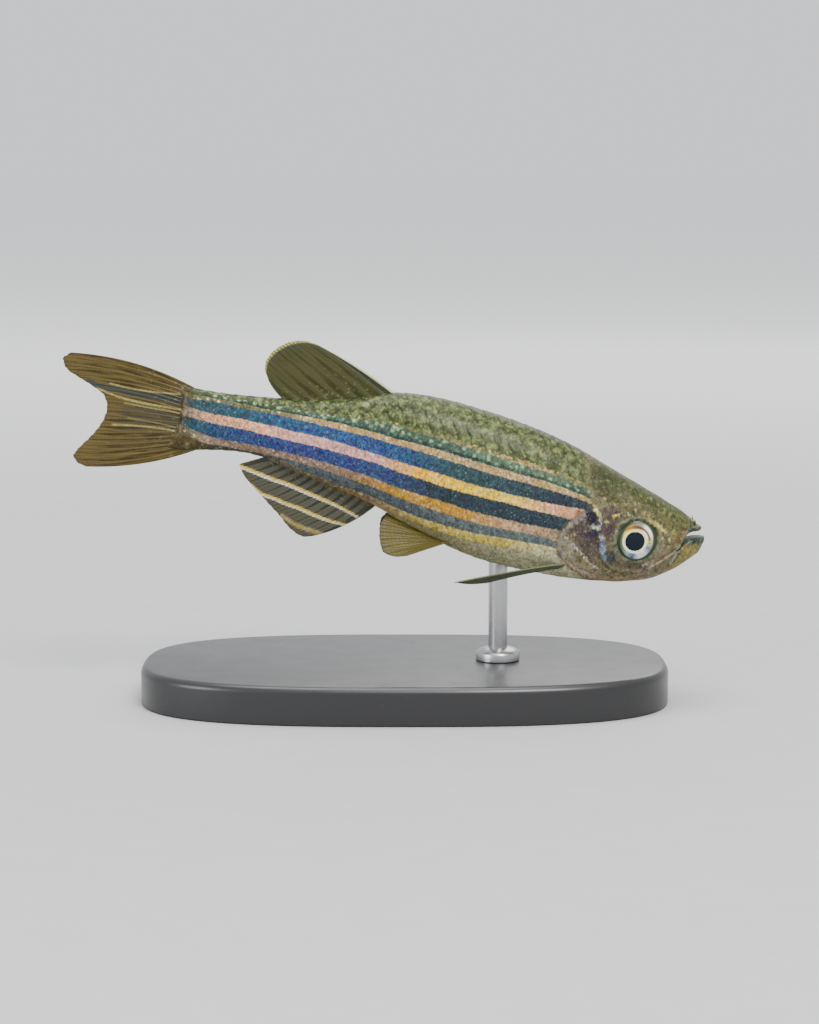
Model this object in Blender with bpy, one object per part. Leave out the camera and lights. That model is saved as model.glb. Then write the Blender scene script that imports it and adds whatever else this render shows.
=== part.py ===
"""A zebra danio, Danio rerio, as a still, life-size display model held over a small stand.

The fish is built in a frame of its own, in millimetres: x runs forward from the tail fin's root to the
snout, y to the fish's left, and z up its back. An empty then pitches it head down and lifts it over
the base. The part stands on z = 0, with its origin under the middle of the base.
"""

import math

import bmesh
import bpy
import numpy as np
from mathutils import Vector

MM = 0.001
GAP = 0.3  # kept between neighbouring solids
MERGE = (0.01, 0.007, 0.005, 0.003)  # corners nearer than the first of these that works are made one

# How the fish hangs over its stand
PITCH = math.radians(12.4)  # head down
TAIL_ROOT_X = -14.5  # of the fish frame's origin, from the middle of the base
TAIL_ROOT_HEIGHT = 19.2

# The body's outline: (x, z) along the back and the belly, and (x, half the body's thickness)
BACK = (
    (-0.2, 2.16), (2.0, 2.27), (4.0, 2.50), (7.0, 2.97), (9.0, 3.42), (11.0, 4.02), (13.0, 4.74),
    (15.0, 5.02), (17.0, 5.06), (19.0, 4.93), (21.0, 4.74), (23.0, 4.44), (25.0, 4.04), (27.0, 3.46),
    (29.0, 2.80), (31.0, 2.15), (33.0, 1.45), (34.2, 0.98), (35.0, 0.56), (35.5, 0.16), (35.8, -0.24),
    (35.95, -0.62),
)
BELLY = (
    (-0.2, -2.22), (1.0, -1.98), (2.5, -1.68), (4.0, -1.50), (5.5, -1.56), (7.0, -1.90), (9.0, -2.27),
    (11.0, -2.60), (13.0, -3.02), (15.0, -3.66), (17.0, -4.28), (19.0, -4.82), (21.0, -5.18),
    (23.0, -5.30), (25.0, -5.28), (27.0, -5.21), (29.0, -5.02), (31.0, -4.65), (32.6, -4.15),
    (33.8, -3.45), (34.7, -2.66), (35.4, -1.90), (35.8, -1.30), (35.95, -0.70),
)
HALF_WIDTH = (
    (-0.2, 0.62), (2.0, 0.80), (4.0, 0.98), (7.0, 1.32), (10.0, 1.72), (13.0, 2.10), (16.0, 2.42),
    (19.0, 2.62), (22.0, 2.70), (25.0, 2.66), (28.0, 2.52), (30.0, 2.38), (31.5, 2.20), (33.0, 1.84),
    (34.2, 1.38), (35.0, 0.96), (35.5, 0.62), (35.8, 0.32), (35.95, 0.05),
)
# Where the body is widest, as a share of its depth above the belly, and how round its upper half is
WIDEST = ((-0.2, 0.5), (10.0, 0.56), (20.0, 0.55), (27.0, 0.58), (31.0, 0.64), (34.5, 0.56), (35.95, 0.5))
CROWN = ((-0.2, 0.95), (20.0, 0.92), (27.0, 0.84), (31.0, 0.76), (34.0, 0.82), (35.95, 0.95))
SIDE_ROUNDNESS = 0.92
SNOUT_X = BACK[-1][0]

# Cuts that part the body, as side views
TAIL_CUT = ((6.1, 4.2), (7.6, 2.4), (10.6, 0.2), (13.4, -2.2), (14.9, -4.6))
HEAD_CUT = (
    (29.4, 4.0), (28.7, 1.6), (28.1, 0.35), (27.1, -0.35), (26.35, -1.15), (25.95, -2.0), (25.9, -2.8),
    (26.3, -3.5), (27.1, -4.15), (28.2, -4.7), (29.0, -5.6),
)
GILL_COVER = (
    (28.75, 0.05), (27.95, -0.02), (27.15, -0.48), (26.6, -1.2), (26.25, -2.0), (26.22, -2.7),
    (26.6, -3.3), (27.4, -3.85), (28.4, -4.35), (29.3, -4.45), (29.05, -3.5), (28.85, -2.4), (28.75, -1.1),
)
GILL_COVER_THICKNESS = 0.7
LOWER_JAW = (
    (36.6, -0.05), (35.85, -0.15), (35.37, -0.3), (34.84, -0.58), (34.45, -1.05), (34.2, -1.65),
    (33.75, -2.5), (32.6, -3.3), (31.2, -3.85), (30.3, -5.4), (36.6, -5.4),
)
MOUTH = (
    (36.6, 0.6), (35.36, 0.2), (34.96, 0.02), (34.51, -0.3), (34.37, -0.65), (34.22, -1.14), (34.12, -1.6),
    (34.4, -1.3), (34.84, -0.74), (35.37, -0.46), (35.85, -0.32), (36.6, -0.2),
)
UPPER_LIP = ((34.12, -1.38), (34.2, -1.0), (34.32, -0.58), (34.56, -0.18), (34.92, 0.12), (35.2, 0.3))
LOWER_LIP = ((34.36, -1.72), (34.6, -1.22), (34.95, -0.8), (35.37, -0.55), (35.7, -0.43))
LIP_RADIUS = 0.17

EYE_X, EYE_Z = 31.2, -1.38
EYE_RADIUS = 1.32
EYE_BULGE = 0.98  # from the eye's middle out to its front
EYE_PROUD = 0.3  # how far the front stands out of the cheek
NOSTRIL_X, NOSTRIL_Z = 33.35, 0.62
NOSTRIL_RADIUS = 0.26
BARBEL_RADIUS = 0.25
BARBELS = (  # (x, y, z) of root and tip: one short pair on the snout, one longer pair over the cheeks
    ((34.95, 0.7, 0.3), (34.75, 1.1, 1.15)),
    ((34.1, 1.3, -1.25), (32.5, 2.12, -2.8)),
)

# Fins: half of the thickness at the root and of the membrane, of its margin, and how high a ray stands
FIN_ROOT, FIN_MEMBRANE, FIN_MARGIN, RAY_HEIGHT = 0.42, 0.25, 0.12, 0.12
RAY_SHARE = 0.28  # of the space between two rays that each side of a ray takes
FIN_ROWS = (0.0, 0.16, 0.4, 0.68, 0.9, 1.0)
SCALLOP = 0.025  # how far the membrane stops short of the rays' tips

PELVIC_ROOT = 0.32
PECTORAL_LIFT = {"right": 0.0, "left": 1.0}  # the left one is at the top of its stroke

# Stand
BASE_LENGTH, BASE_WIDTH, BASE_HEIGHT, BASE_CHAMFER = 36.0, 19.0, 2.6, 0.5
ROD_X = 6.4
ROD_RADIUS = 0.65
FERRULE_RADIUS, FERRULE_HEIGHT = 1.5, 0.9


def along(table, x):
    """The value at x of a smooth curve through the table's points."""
    xs, ys = (np.array(column) for column in zip(*table))
    slopes = np.gradient(ys, xs)
    x = min(max(x, xs[0]), xs[-1])
    i = min(int(np.searchsorted(xs, x, side="right")) - 1, len(xs) - 2)
    span = xs[i + 1] - xs[i]
    u = (x - xs[i]) / span
    ease = u * u * (3 - 2 * u)
    bend = span * (slopes[i] * u * (1 - u) ** 2 - slopes[i + 1] * u * u * (1 - u))
    return float(ys[i] * (1 - ease) + ys[i + 1] * ease + bend)


def through(points, t):
    """The point at t, from 0 to 1, of a smooth curve through 2-D or 3-D points, evenly spaced by length."""
    steps = np.linalg.norm(np.diff(np.array(points), axis=0), axis=1)
    reach = np.concatenate([[0], np.cumsum(steps)]) / steps.sum()
    return [along(list(zip(reach, column)), t) for column in zip(*points)]


def section(x):
    """(back, belly, height of the widest place, half width, crown's roundness) of the body at x."""
    back, belly = along(BACK, x), along(BELLY, x)
    return back, belly, belly + along(WIDEST, x) * (back - belly), along(HALF_WIDTH, x), along(CROWN, x)


def side_at(x, z):
    """Half of the body's thickness at (x, z)."""
    back, belly, widest, half, crown = section(x)
    share = (z - widest) / (back - widest) if z > widest else (widest - z) / (widest - belly)
    rise = min(share, 1.0) ** (1 / (crown if z > widest else 1.0))
    return half * (1 - rise * rise) ** (SIDE_ROUNDNESS / 2)


def underside_at(x, y):
    """The height of the body's underside at (x, y)."""
    _, belly, widest, half, _ = section(x)
    out = min(abs(y) / half, 1.0) ** (1 / SIDE_ROUNDNESS)
    return widest - (widest - belly) * math.sqrt(1 - out * out)


def world(x, z):
    """(x, z) of the fish's frame in the part's frame, in millimetres."""
    return (
        TAIL_ROOT_X + x * math.cos(PITCH) + z * math.sin(PITCH),
        TAIL_ROOT_HEIGHT - x * math.sin(PITCH) + z * math.cos(PITCH),
    )


def material(name, colour, roughness, metallic=0.0):
    made = bpy.data.materials.new(name)
    made.use_nodes = True
    shader = made.node_tree.nodes["Principled BSDF"]
    shader.inputs["Base Color"].default_value = (*colour, 1)
    shader.inputs["Roughness"].default_value = roughness
    shader.inputs["Metallic"].default_value = metallic
    return made


def mesh_object(name, points, faces, finish=None):
    """An object in the scene from points in millimetres and lists of their numbers, its faces turned out."""
    mesh = bpy.data.meshes.new(name)
    mesh.from_pydata([Vector(p) * MM for p in points], [], faces)
    shaped = bmesh.new()
    shaped.from_mesh(mesh)
    bmesh.ops.recalc_face_normals(shaped, faces=shaped.faces)
    shaped.to_mesh(mesh)
    shaped.free()
    made = bpy.data.objects.new(name, mesh)
    bpy.context.scene.collection.objects.link(made)
    if finish:
        mesh.materials.append(finish)
    return made


def loft(name, rings, finish=None):
    """A closed tube through rings of equally many points, capped at each end by a fan about its middle."""
    count = len(rings[0])
    points = [p for ring in rings for p in ring]
    faces = []
    for i in range(len(rings) - 1):
        for j in range(count):
            k = (j + 1) % count
            faces.append((i * count + j, i * count + k, (i + 1) * count + k, (i + 1) * count + j))
    for ring, start in ((rings[0], 0), (rings[-1], (len(rings) - 1) * count)):
        points.append(tuple(np.mean(ring, axis=0)))
        faces += [(start + j, start + (j + 1) % count, len(points) - 1) for j in range(count)]
    return mesh_object(name, points, faces, finish)


def tube(name, path, radii, sides=10, finish=None):
    """A round bar along a path of points, with one radius for each."""
    rings = []
    for i, point in enumerate(path):
        ahead = Vector(path[min(i + 1, len(path) - 1)]) - Vector(path[max(i - 1, 0)])
        turn = ahead.to_track_quat("Z", "Y")
        ring = []
        for j in range(sides):
            angle = 2 * math.pi * j / sides
            spoke = Vector((math.cos(angle), math.sin(angle), 0)) * radii[i]
            ring.append(tuple(Vector(point) + turn @ spoke))
        rings.append(ring)
    return loft(name, rings, finish)


def side_prism(name, outline, near, far):
    """A block with a side-view outline, from y = near to y = far."""
    rings = [[(x, y, z) for x, z in outline] for y in (near, far)]
    count = len(outline)
    faces = [tuple(range(count)), tuple(range(count, 2 * count))]
    faces += [(j, (j + 1) % count, count + (j + 1) % count, count + j) for j in range(count)]
    return mesh_object(name, rings[0] + rings[1], faces)


def offset_line(line, distance):
    """A side-view line moved to its left by a distance."""
    moved = []
    for i, point in enumerate(line):
        ahead = Vector(line[min(i + 1, len(line) - 1)]) - Vector(line[max(i - 1, 0)])
        moved.append(tuple(Vector(point) + Vector((-ahead.y, ahead.x)).normalized() * distance))
    return moved


def grown(outline, distance):
    """A closed side-view outline, drawn anticlockwise round, moved out by a distance."""
    moved = []
    for i, point in enumerate(outline):
        before = (Vector(point) - Vector(outline[i - 1])).normalized()
        after = (Vector(outline[(i + 1) % len(outline)]) - Vector(point)).normalized()
        out = Vector((before.y + after.y, -before.x - after.x))
        moved.append(tuple(Vector(point) + out.normalized() * distance / max(out.length / 2, 0.5)))
    return moved


def combine(target, other, operation):
    """Joins, cuts or trims the target by another closed object, in place."""
    modifier = target.modifiers.new(operation.title(), "BOOLEAN")
    modifier.operation = operation
    modifier.solver = "MANIFOLD"
    modifier.object = other
    graph = bpy.context.evaluated_depsgraph_get()
    mesh = bpy.data.meshes.new_from_object(target.evaluated_get(graph))
    target.modifiers.clear()
    target.data = mesh
    bpy.data.objects.remove(other)


def copy_of(source, name):
    made = source.copy()
    made.data = source.data.copy()
    made.name = name
    bpy.context.scene.collection.objects.link(made)
    return made


def without_slivers(mesh):
    """A mesh's working copy, with corners that almost touch made one, as far as it stays closed."""
    for reach in (*MERGE, 0.0):
        shaped = bmesh.new()
        shaped.from_mesh(mesh)
        bmesh.ops.triangulate(shaped, faces=shaped.faces)
        if reach:
            bmesh.ops.dissolve_degenerate(shaped, edges=shaped.edges, dist=reach * MM)
        if not reach or all(edge.is_manifold for edge in shaped.edges):
            return shaped
        shaped.free()


def keep_largest(target):
    """Leaves only the closed surface that has the most corners."""
    shaped = without_slivers(target.data)
    unseen, groups = set(shaped.verts), []
    while unseen:
        group, edge_of = set(), [unseen.pop()]
        while edge_of:
            vert = edge_of.pop()
            group.add(vert)
            near = {edge.other_vert(vert) for edge in vert.link_edges} & unseen
            unseen -= near
            edge_of += near
        groups.append(group)
    groups.sort(key=len)
    for group in groups[:-1]:
        bmesh.ops.delete(shaped, geom=list(group), context="VERTS")
    shaped.to_mesh(target.data)
    shaped.free()


def finished(target, name, finish):
    """Names a node, gives it its one material and shades it smooth between its sharp edges."""
    keep_largest(target)
    target.name = name
    target.data.name = name
    target.data.materials.clear()
    target.data.materials.append(finish)
    target.data.shade_smooth()
    target.data.set_sharp_from_angle(angle=math.radians(38))
    return target


def body_loft(name, inset=0.0, around=32):
    """The body from the tail fin's root to the snout, or the same form that much smaller all round."""
    stations = list(np.arange(0.0, 25.6, 1.0)) + list(np.arange(26.0, 34.5, 0.5))
    stations += [34.75, 35.1, 35.4, 35.65, 35.82, 35.93]
    rings = []
    for x in stations:
        back, belly, widest, half, crown = section(x)
        half, up, down = half - inset, back - inset - widest, widest - belly - inset
        if min(half, up, down) < 0.05:
            continue
        ring = []
        for j in range(around):
            angle = 2 * math.pi * j / around
            c, s = math.cos(angle), math.sin(angle)
            lift = up * c**crown if c > 0 else down * c
            ring.append((x, half * math.copysign(abs(s) ** SIDE_ROUNDNESS, s), widest + lift))
        rings.append(ring)
    return loft(name, rings)


def lip(line):
    """A round lip from one corner of the mouth round the front to the other, along its side-view line."""
    right = [(x, -max(side_at(x, z) - 0.05, 0.25), z) for x, z in line]
    left = [(x, -y, z) for x, y, z in reversed(right)]
    path = [through(right + left, t) for t in np.linspace(0, 1, 17)]
    radii = [LIP_RADIUS * (0.5 + 0.5 * math.sin(math.pi * t)) for t in np.linspace(0, 1, 17)]
    return tube("lip", path, radii, 8)


def nostril_rim(side):
    """A raised ring round a nostril, with a low flap at its front."""
    y = side * side_at(NOSTRIL_X, NOSTRIL_Z)
    middle, out = Vector((NOSTRIL_X, y, NOSTRIL_Z)), Vector((0.2, side * 0.75, 0.65)).normalized()
    across = out.cross(Vector((1, 0, 0))).normalized()
    forward = across.cross(out)
    rings = []
    for i in range(12):
        angle = 2 * math.pi * i / 12
        spoke = forward * math.cos(angle) + across * math.sin(angle)
        thick = 0.11 + 0.05 * math.cos(angle)
        hub = middle + spoke * (NOSTRIL_RADIUS + 0.1)
        ring = []
        for j in range(6):
            turn = 2 * math.pi * j / 6
            ring.append(tuple(hub + (spoke * math.cos(turn) + out * math.sin(turn)) * thick))
        rings.append(ring)
    points = [p for ring in rings for p in ring]
    faces = []
    for i in range(12):
        for j in range(6):
            a, b = (i + 1) % 12, (j + 1) % 6
            faces.append((i * 6 + j, i * 6 + b, a * 6 + b, a * 6 + j))
    rim = mesh_object("rim", points, faces)
    pit = tube("pit", [tuple(middle - out * 0.35), tuple(middle + out * 0.5)], [NOSTRIL_RADIUS] * 2, 10)
    return rim, pit


def barbel(start, end, side):
    """A feeler that tapers from its root, sunk in the head, to its tip, and arches a little outwards."""
    path, radii = [], []
    for t in np.linspace(0, 1, 6):
        x, y, z = Vector(start).lerp(Vector(end), t)
        path.append((x, side * (y + 0.1 * 4 * t * (1 - t)), z))
        radii.append(BARBEL_RADIUS * (1 - 0.7 * t))
    return tube("barbel", path, radii, 7)


def ellipsoid(name, centre, radii, around=20, rows=12, finish=None):
    """An ellipsoid whose poles lie along y."""
    rings = []
    for i in range(1, rows):
        tilt = math.pi * i / rows
        ring = []
        for j in range(around):
            turn = 2 * math.pi * j / around
            ring.append(
                (
                    centre[0] + radii[0] * math.sin(tilt) * math.cos(turn),
                    centre[1] + radii[1] * math.cos(tilt),
                    centre[2] + radii[2] * math.sin(tilt) * math.sin(turn),
                )
            )
        rings.append(ring)
    return loft(name, rings, finish)


def fin(name, surface, rays, finish, root_half=FIN_ROOT):
    """A fin as one closed solid: a membrane whose rays stand out as ridges on both of its faces.

    surface(s, t) is the membrane's middle: s runs from the first ray to the last, t from root to margin.
    The thickness is laid on along the normal of the plane that fits the whole fin best.
    """
    columns = []
    for k in range(rays):
        middle, flank = k / (rays - 1), RAY_SHARE / (rays - 1)
        columns += [(s, ridge) for s, ridge in ((middle - flank, 0), (middle, 1), (middle + flank, 0))]
    columns = columns[1:-1]
    grid = []
    for t in FIN_ROWS:
        short = [1 if ridge else 1 - SCALLOP * t for _, ridge in columns]
        grid.append([Vector(surface(s, t * cut)) for (s, _), cut in zip(columns, short)])
    rows, wide = len(grid), len(columns)
    spread = np.array([p for row in grid for p in row])
    normal = Vector(np.linalg.svd(spread - spread.mean(axis=0))[2][2])
    faces_out, faces_in = [], []
    for i, t in enumerate(FIN_ROWS):
        membrane = FIN_MEMBRANE + (root_half - FIN_MEMBRANE) * max(0.0, 1 - t / 0.3) ** 1.5
        taper = min(1.0, (1 - t) / 0.16)
        for j, (_, ridge) in enumerate(columns):
            half = FIN_MARGIN + (membrane + ridge * RAY_HEIGHT * (1 - 0.5 * t) - FIN_MARGIN) * taper
            faces_out.append(tuple(grid[i][j] + normal * half))
            faces_in.append(tuple(grid[i][j] - normal * half))
    behind = rows * wide
    triangles = []
    for i in range(rows - 1):
        for j in range(wide - 1):
            a, b, c, d = i * wide + j, i * wide + j + 1, (i + 1) * wide + j + 1, (i + 1) * wide + j
            triangles += [(a, b, c), (a, c, d)]
            triangles += [(behind + c, behind + b, behind + a), (behind + d, behind + c, behind + a)]
    rim = [j for j in range(wide)]
    rim += [i * wide + wide - 1 for i in range(1, rows)]
    rim += [(rows - 1) * wide + j for j in range(wide - 2, -1, -1)]
    rim += [i * wide for i in range(rows - 2, 0, -1)]
    for i, a in enumerate(rim):
        b = rim[(i + 1) % len(rim)]
        triangles += [(a, behind + b, b), (a, behind + a, behind + b)]
    return finished(mesh_object(name, faces_out + faces_in, triangles), name, finish)


def middle_fin(root, margin, bow_first, bow_last):
    """The surface of a fin on the fish's middle plane. root and margin are side-view points, from the
    first ray to the last, and the bows are how far those two rays arch away from the fin's middle."""

    def surface(s, t):
        x0, z0 = through(root, s)
        x1, z1 = through(margin, s)
        bow = (bow_first * (1 - s) - bow_last * s) * 4 * t * (1 - t)
        length = math.hypot(x1 - x0, z1 - z0)
        aside = ((z1 - z0) / length, -(x1 - x0) / length)
        return (x0 + (x1 - x0) * t + aside[0] * bow, 0.0, z0 + (z1 - z0) * t + aside[1] * bow)

    return surface


def paired_fin(side, root, margin, bow):
    """The surface of a fin on one side: root and margin are (x, y, z) points from its first ray to its
    last, with y out from the middle, and its rays arch up by the bow."""

    def surface(s, t):
        start, end = Vector(through(root, s)), Vector(through(margin, s))
        point = start.lerp(end, t)
        point.z += bow * 4 * t * (1 - t)
        return (point.x, side * point.y, point.z)

    return surface


def build_flesh(skin):
    """Head, lower jaw, gill covers, torso and tail: one form, parted by thin cuts."""
    body = body_loft("body")
    for side in (-1, 1):
        rim, pit = nostril_rim(side)
        combine(body, rim, "UNION")
        combine(body, pit, "DIFFERENCE")
        centre = (EYE_X, side * (side_at(EYE_X, EYE_Z) + EYE_PROUD - EYE_BULGE), EYE_Z)
        socket = [EYE_RADIUS + GAP, EYE_BULGE + GAP, EYE_RADIUS + GAP]
        combine(body, ellipsoid("socket", centre, socket), "DIFFERENCE")

    combine(body, side_prism("mouth", MOUTH, -4, 4), "DIFFERENCE")
    jaw = copy_of(body, "lower_jaw")
    combine(jaw, side_prism("jaw_form", LOWER_JAW, -4, 4), "INTERSECT")
    combine(jaw, lip(LOWER_LIP), "UNION")
    combine(body, side_prism("jaw_cut", grown(LOWER_JAW, GAP), -4, 4), "DIFFERENCE")
    finished(jaw, "lower_jaw", skin["jaw"])

    for side, word in ((-1, "right"), (1, "left")):
        near, far = sorted((side * 0.2, side * 4))
        cover = copy_of(body, "cover")
        combine(cover, side_prism("cover_form", GILL_COVER, near, far), "INTERSECT")
        combine(cover, body_loft("under_cover", GILL_COVER_THICKNESS), "DIFFERENCE")
        bed = side_prism("bed", grown(GILL_COVER, GAP), near, far)
        combine(bed, body_loft("under_bed", GILL_COVER_THICKNESS + GAP), "DIFFERENCE")
        combine(body, bed, "DIFFERENCE")
        finished(cover, f"gill_cover_{word}", skin["gill_cover"])

    head = copy_of(body, "head")
    cut = offset_line(HEAD_CUT, GAP / 2) + [(-3.0, -8.0), (-3.0, 8.0)]
    combine(head, side_prism("behind_head", cut, -4, 4), "DIFFERENCE")
    combine(head, lip(UPPER_LIP), "UNION")
    for side in (-1, 1):
        for start, end in BARBELS:
            combine(head, barbel(start, end, side), "UNION")
    finished(head, "head", skin["head"])

    cut = offset_line(HEAD_CUT, -GAP / 2) + [(-3.0, -8.0), (-3.0, 8.0)]
    combine(body, side_prism("trunk", cut, -4, 4), "INTERSECT")
    torso = copy_of(body, "torso")
    in_front = offset_line(TAIL_CUT, GAP / 2) + [(40.0, -8.0), (40.0, 8.0)]
    combine(torso, side_prism("in_front", in_front, -4, 4), "INTERSECT")
    finished(torso, "torso", skin["flank"])
    rear = offset_line(TAIL_CUT, -GAP / 2) + [(-3.0, -8.0), (-3.0, 8.0)]
    combine(body, side_prism("rear", rear, -4, 4), "INTERSECT")
    return finished(body, "tail", skin["flank"])


def build_eyes(iris):
    for side, word in ((-1, "right"), (1, "left")):
        centre = (EYE_X, side * (side_at(EYE_X, EYE_Z) + EYE_PROUD - EYE_BULGE), EYE_Z)
        eye = ellipsoid(f"eye_{word}", centre, (EYE_RADIUS, EYE_BULGE, EYE_RADIUS))
        finished(eye, f"eye_{word}", iris)


def build_fins(membrane):
    """The seven fins, each rooted the gap away from the body that it grows from."""
    back_root = [(x, along(BACK, x) + GAP + 0.02) for x in np.linspace(12.9, 6.7, 7)]
    margin = [(7.35, 6.8), (6.25, 6.84), (5.2, 6.42), (4.5, 5.75), (4.2, 5.1), (4.25, 4.5), (4.55, 3.9)]
    fin("dorsal_fin", middle_fin(back_root, margin, 0.16, 0.1), 9, membrane)

    belly_root = [(x, along(BELLY, x) - GAP - 0.02) for x in np.linspace(13.6, 5.9, 9)]
    margin = [
        (9.7, -6.1), (9.15, -6.26), (8.1, -5.9), (7.2, -5.17), (6.4, -4.6), (5.6, -4.0), (4.9, -3.5),
        (4.25, -2.95), (3.83, -2.3),
    ]
    fin("anal_fin", middle_fin(belly_root, margin, -0.32, 0.0), 14, membrane)

    tail_root = [(-GAP, z) for z in np.linspace(2.1, -2.14, 5)]
    margin = [
        (-9.25, 2.5), (-9.35, 1.95), (-8.3, 1.36), (-6.9, 0.68), (-5.95, 0.05), (-5.8, -0.45),
        (-5.9, -1.3), (-6.2, -2.36), (-6.75, -3.25), (-7.35, -3.9), (-7.2, -4.42),
    ]
    fin("caudal_fin", middle_fin(tail_root, margin, 0.6, 0.55), 19, membrane, 0.56)

    for side, word in ((-1, "right"), (1, "left")):
        root = []
        for x, y in ((19.1, 1.4), (18.8, 0.95), (18.4, 0.45)):
            root.append((x, y, underside_at(x, y) - GAP - PELVIC_ROOT))
        margin = [
            (16.2, 2.2, -5.72), (15.3, 2.15, -5.9), (14.6, 1.95, -5.75), (14.15, 1.65, -5.25),
            (14.15, 1.3, -4.75), (14.55, 1.0, -4.3),
        ]
        fin(f"pelvic_fin_{word}", paired_fin(side, root, margin, 0.0), 8, membrane, PELVIC_ROOT)

        lift = PECTORAL_LIFT[word]
        root = []
        for x, z in ((26.8, -4.18), (26.2, -4.28), (25.6, -4.4)):
            root.append((x, side_at(x, z) + GAP + 0.15, z))
        margin = [
            (x, y, z + lift)
            for x, y, z in (
                (19.75, 5.5, -6.35), (19.85, 5.0, -6.4), (20.4, 4.35, -6.35), (21.1, 3.75, -6.15),
                (22.0, 3.3, -5.85),
            )
        ]
        fin(f"pectoral_fin_{word}", paired_fin(side, root, margin, 0.05), 10, membrane, 0.28)


def build_stand(base_finish, rod_finish):
    """A flat oval base and one short rod, whose top follows the belly and keeps the gap to it."""
    ring = []
    for i in range(48):
        angle = 2 * math.pi * i / 48
        c, s = math.cos(angle), math.sin(angle)
        ring.append(
            (
                BASE_LENGTH / 2 * math.copysign(abs(c) ** 0.7, c),
                BASE_WIDTH / 2 * math.copysign(abs(s) ** 0.7, s),
            )
        )
    rings = []
    for height, inset in ((0, 0), (BASE_HEIGHT - BASE_CHAMFER, 0), (BASE_HEIGHT, BASE_CHAMFER)):
        shrink = (1 - 2 * inset / BASE_LENGTH, 1 - 2 * inset / BASE_WIDTH)
        rings.append([(x * shrink[0], y * shrink[1], height) for x, y in ring])
    finished(loft("stand_base", rings), "stand_base", base_finish)

    foot = BASE_HEIGHT + GAP
    turns = [2 * math.pi * i / 20 for i in range(20)]
    rings = []
    for radius, height in (
        (FERRULE_RADIUS, foot), (FERRULE_RADIUS, foot + FERRULE_HEIGHT * 0.6),
        (ROD_RADIUS * 1.3, foot + FERRULE_HEIGHT), (ROD_RADIUS, foot + FERRULE_HEIGHT),
    ):
        rings.append([(ROD_X + radius * math.cos(a), radius * math.sin(a), height) for a in turns])
    top = []
    for a in turns:
        x, y = ROD_X + ROD_RADIUS * math.cos(a), ROD_RADIUS * math.sin(a)
        along_fish = (x - TAIL_ROOT_X) / math.cos(PITCH)
        for _ in range(6):
            under = underside_at(along_fish, y)
            along_fish += (x - world(along_fish, under)[0]) / math.cos(PITCH)
        top.append((x, y, world(along_fish, underside_at(along_fish, y))[1] - GAP - 0.02))
    rings.append(top)
    finished(loft("stand_rod", rings), "stand_rod", rod_finish)


def main():
    for old in list(bpy.data.objects):
        bpy.data.objects.remove(old)
    skin = {
        "flank": material("striped_flank", (0.10, 0.14, 0.20), 0.35, 0.2),
        "head": material("olive_head", (0.20, 0.19, 0.12), 0.38, 0.1),
        "gill_cover": material("silvery_gill_cover", (0.24, 0.21, 0.22), 0.3, 0.3),
        "jaw": material("pale_jaw", (0.32, 0.30, 0.20), 0.4),
    }
    build_flesh(skin)
    build_eyes(material("silver_iris", (0.72, 0.70, 0.52), 0.2, 0.6))
    build_fins(material("clear_olive_fin", (0.30, 0.28, 0.16), 0.45))
    fish = bpy.data.objects.new("fish_pose", None)
    bpy.context.scene.collection.objects.link(fish)
    for node in list(bpy.data.objects):
        if node.type == "MESH":
            node.parent = fish
    fish.location = (TAIL_ROOT_X * MM, 0, TAIL_ROOT_HEIGHT * MM)
    fish.rotation_euler = (0, PITCH, 0)
    build_stand(
        material("black_base", (0.03, 0.03, 0.032), 0.45),
        material("steel_rod", (0.55, 0.55, 0.56), 0.3, 0.9),
    )


main()
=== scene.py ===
"""The looks of a zebra danio, Danio rerio, shown life-size over a small display stand.

Shapes are worked out in the fish's own frame, in millimetres: x runs forward from the tail fin's root to
the snout, y to the fish's left and z up its back. They are then pitched head down over the base.
"""

import math

import bmesh
import bpy
import numpy as np
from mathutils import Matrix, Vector


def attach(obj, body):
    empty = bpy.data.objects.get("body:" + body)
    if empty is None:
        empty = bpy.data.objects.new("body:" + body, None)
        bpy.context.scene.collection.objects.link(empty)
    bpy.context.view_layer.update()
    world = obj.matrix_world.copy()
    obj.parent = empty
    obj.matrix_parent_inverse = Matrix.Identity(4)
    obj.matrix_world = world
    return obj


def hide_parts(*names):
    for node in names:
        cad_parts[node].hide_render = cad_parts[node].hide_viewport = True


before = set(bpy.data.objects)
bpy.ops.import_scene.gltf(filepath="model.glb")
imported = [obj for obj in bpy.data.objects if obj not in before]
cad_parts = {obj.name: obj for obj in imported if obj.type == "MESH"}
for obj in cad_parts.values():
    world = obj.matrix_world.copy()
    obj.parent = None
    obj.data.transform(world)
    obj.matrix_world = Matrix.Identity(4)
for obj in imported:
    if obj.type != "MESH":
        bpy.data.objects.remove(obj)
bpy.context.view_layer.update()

# The studio. The camera stands where the photograph was taken from, level with the fish's right flank and
# a little above it. A wide floor, painted paler away from the lamps, meets an evenly pale sky all round.
MM = 0.001
scene = bpy.context.scene

CAMERA_AIM = Vector((0.3335, 0.0, 12.83)) * MM
CAMERA_DISTANCE = 165 * MM
CAMERA_RISE = math.radians(8)

camera = bpy.data.objects.new("camera", bpy.data.cameras.new("camera"))
scene.collection.objects.link(camera)
camera.data.sensor_width = 36
camera.data.lens = 85.05
camera.data.clip_start = 0.005
camera.data.clip_end = 60
back_from_fish = Vector((0, -math.cos(CAMERA_RISE), math.sin(CAMERA_RISE)))
camera.location = CAMERA_AIM + back_from_fish * CAMERA_DISTANCE
camera.rotation_euler = (math.pi / 2 - CAMERA_RISE, 0, 0)
scene.camera = camera


def join(node, inputs):
    """Gives each named input of a node its value or its link."""
    for name, value in dict(inputs).items():
        if isinstance(value, bpy.types.NodeSocket):
            node.id_data.links.new(value, node.inputs[name])
        else:
            node.inputs[name].default_value = value
    return node


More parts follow.
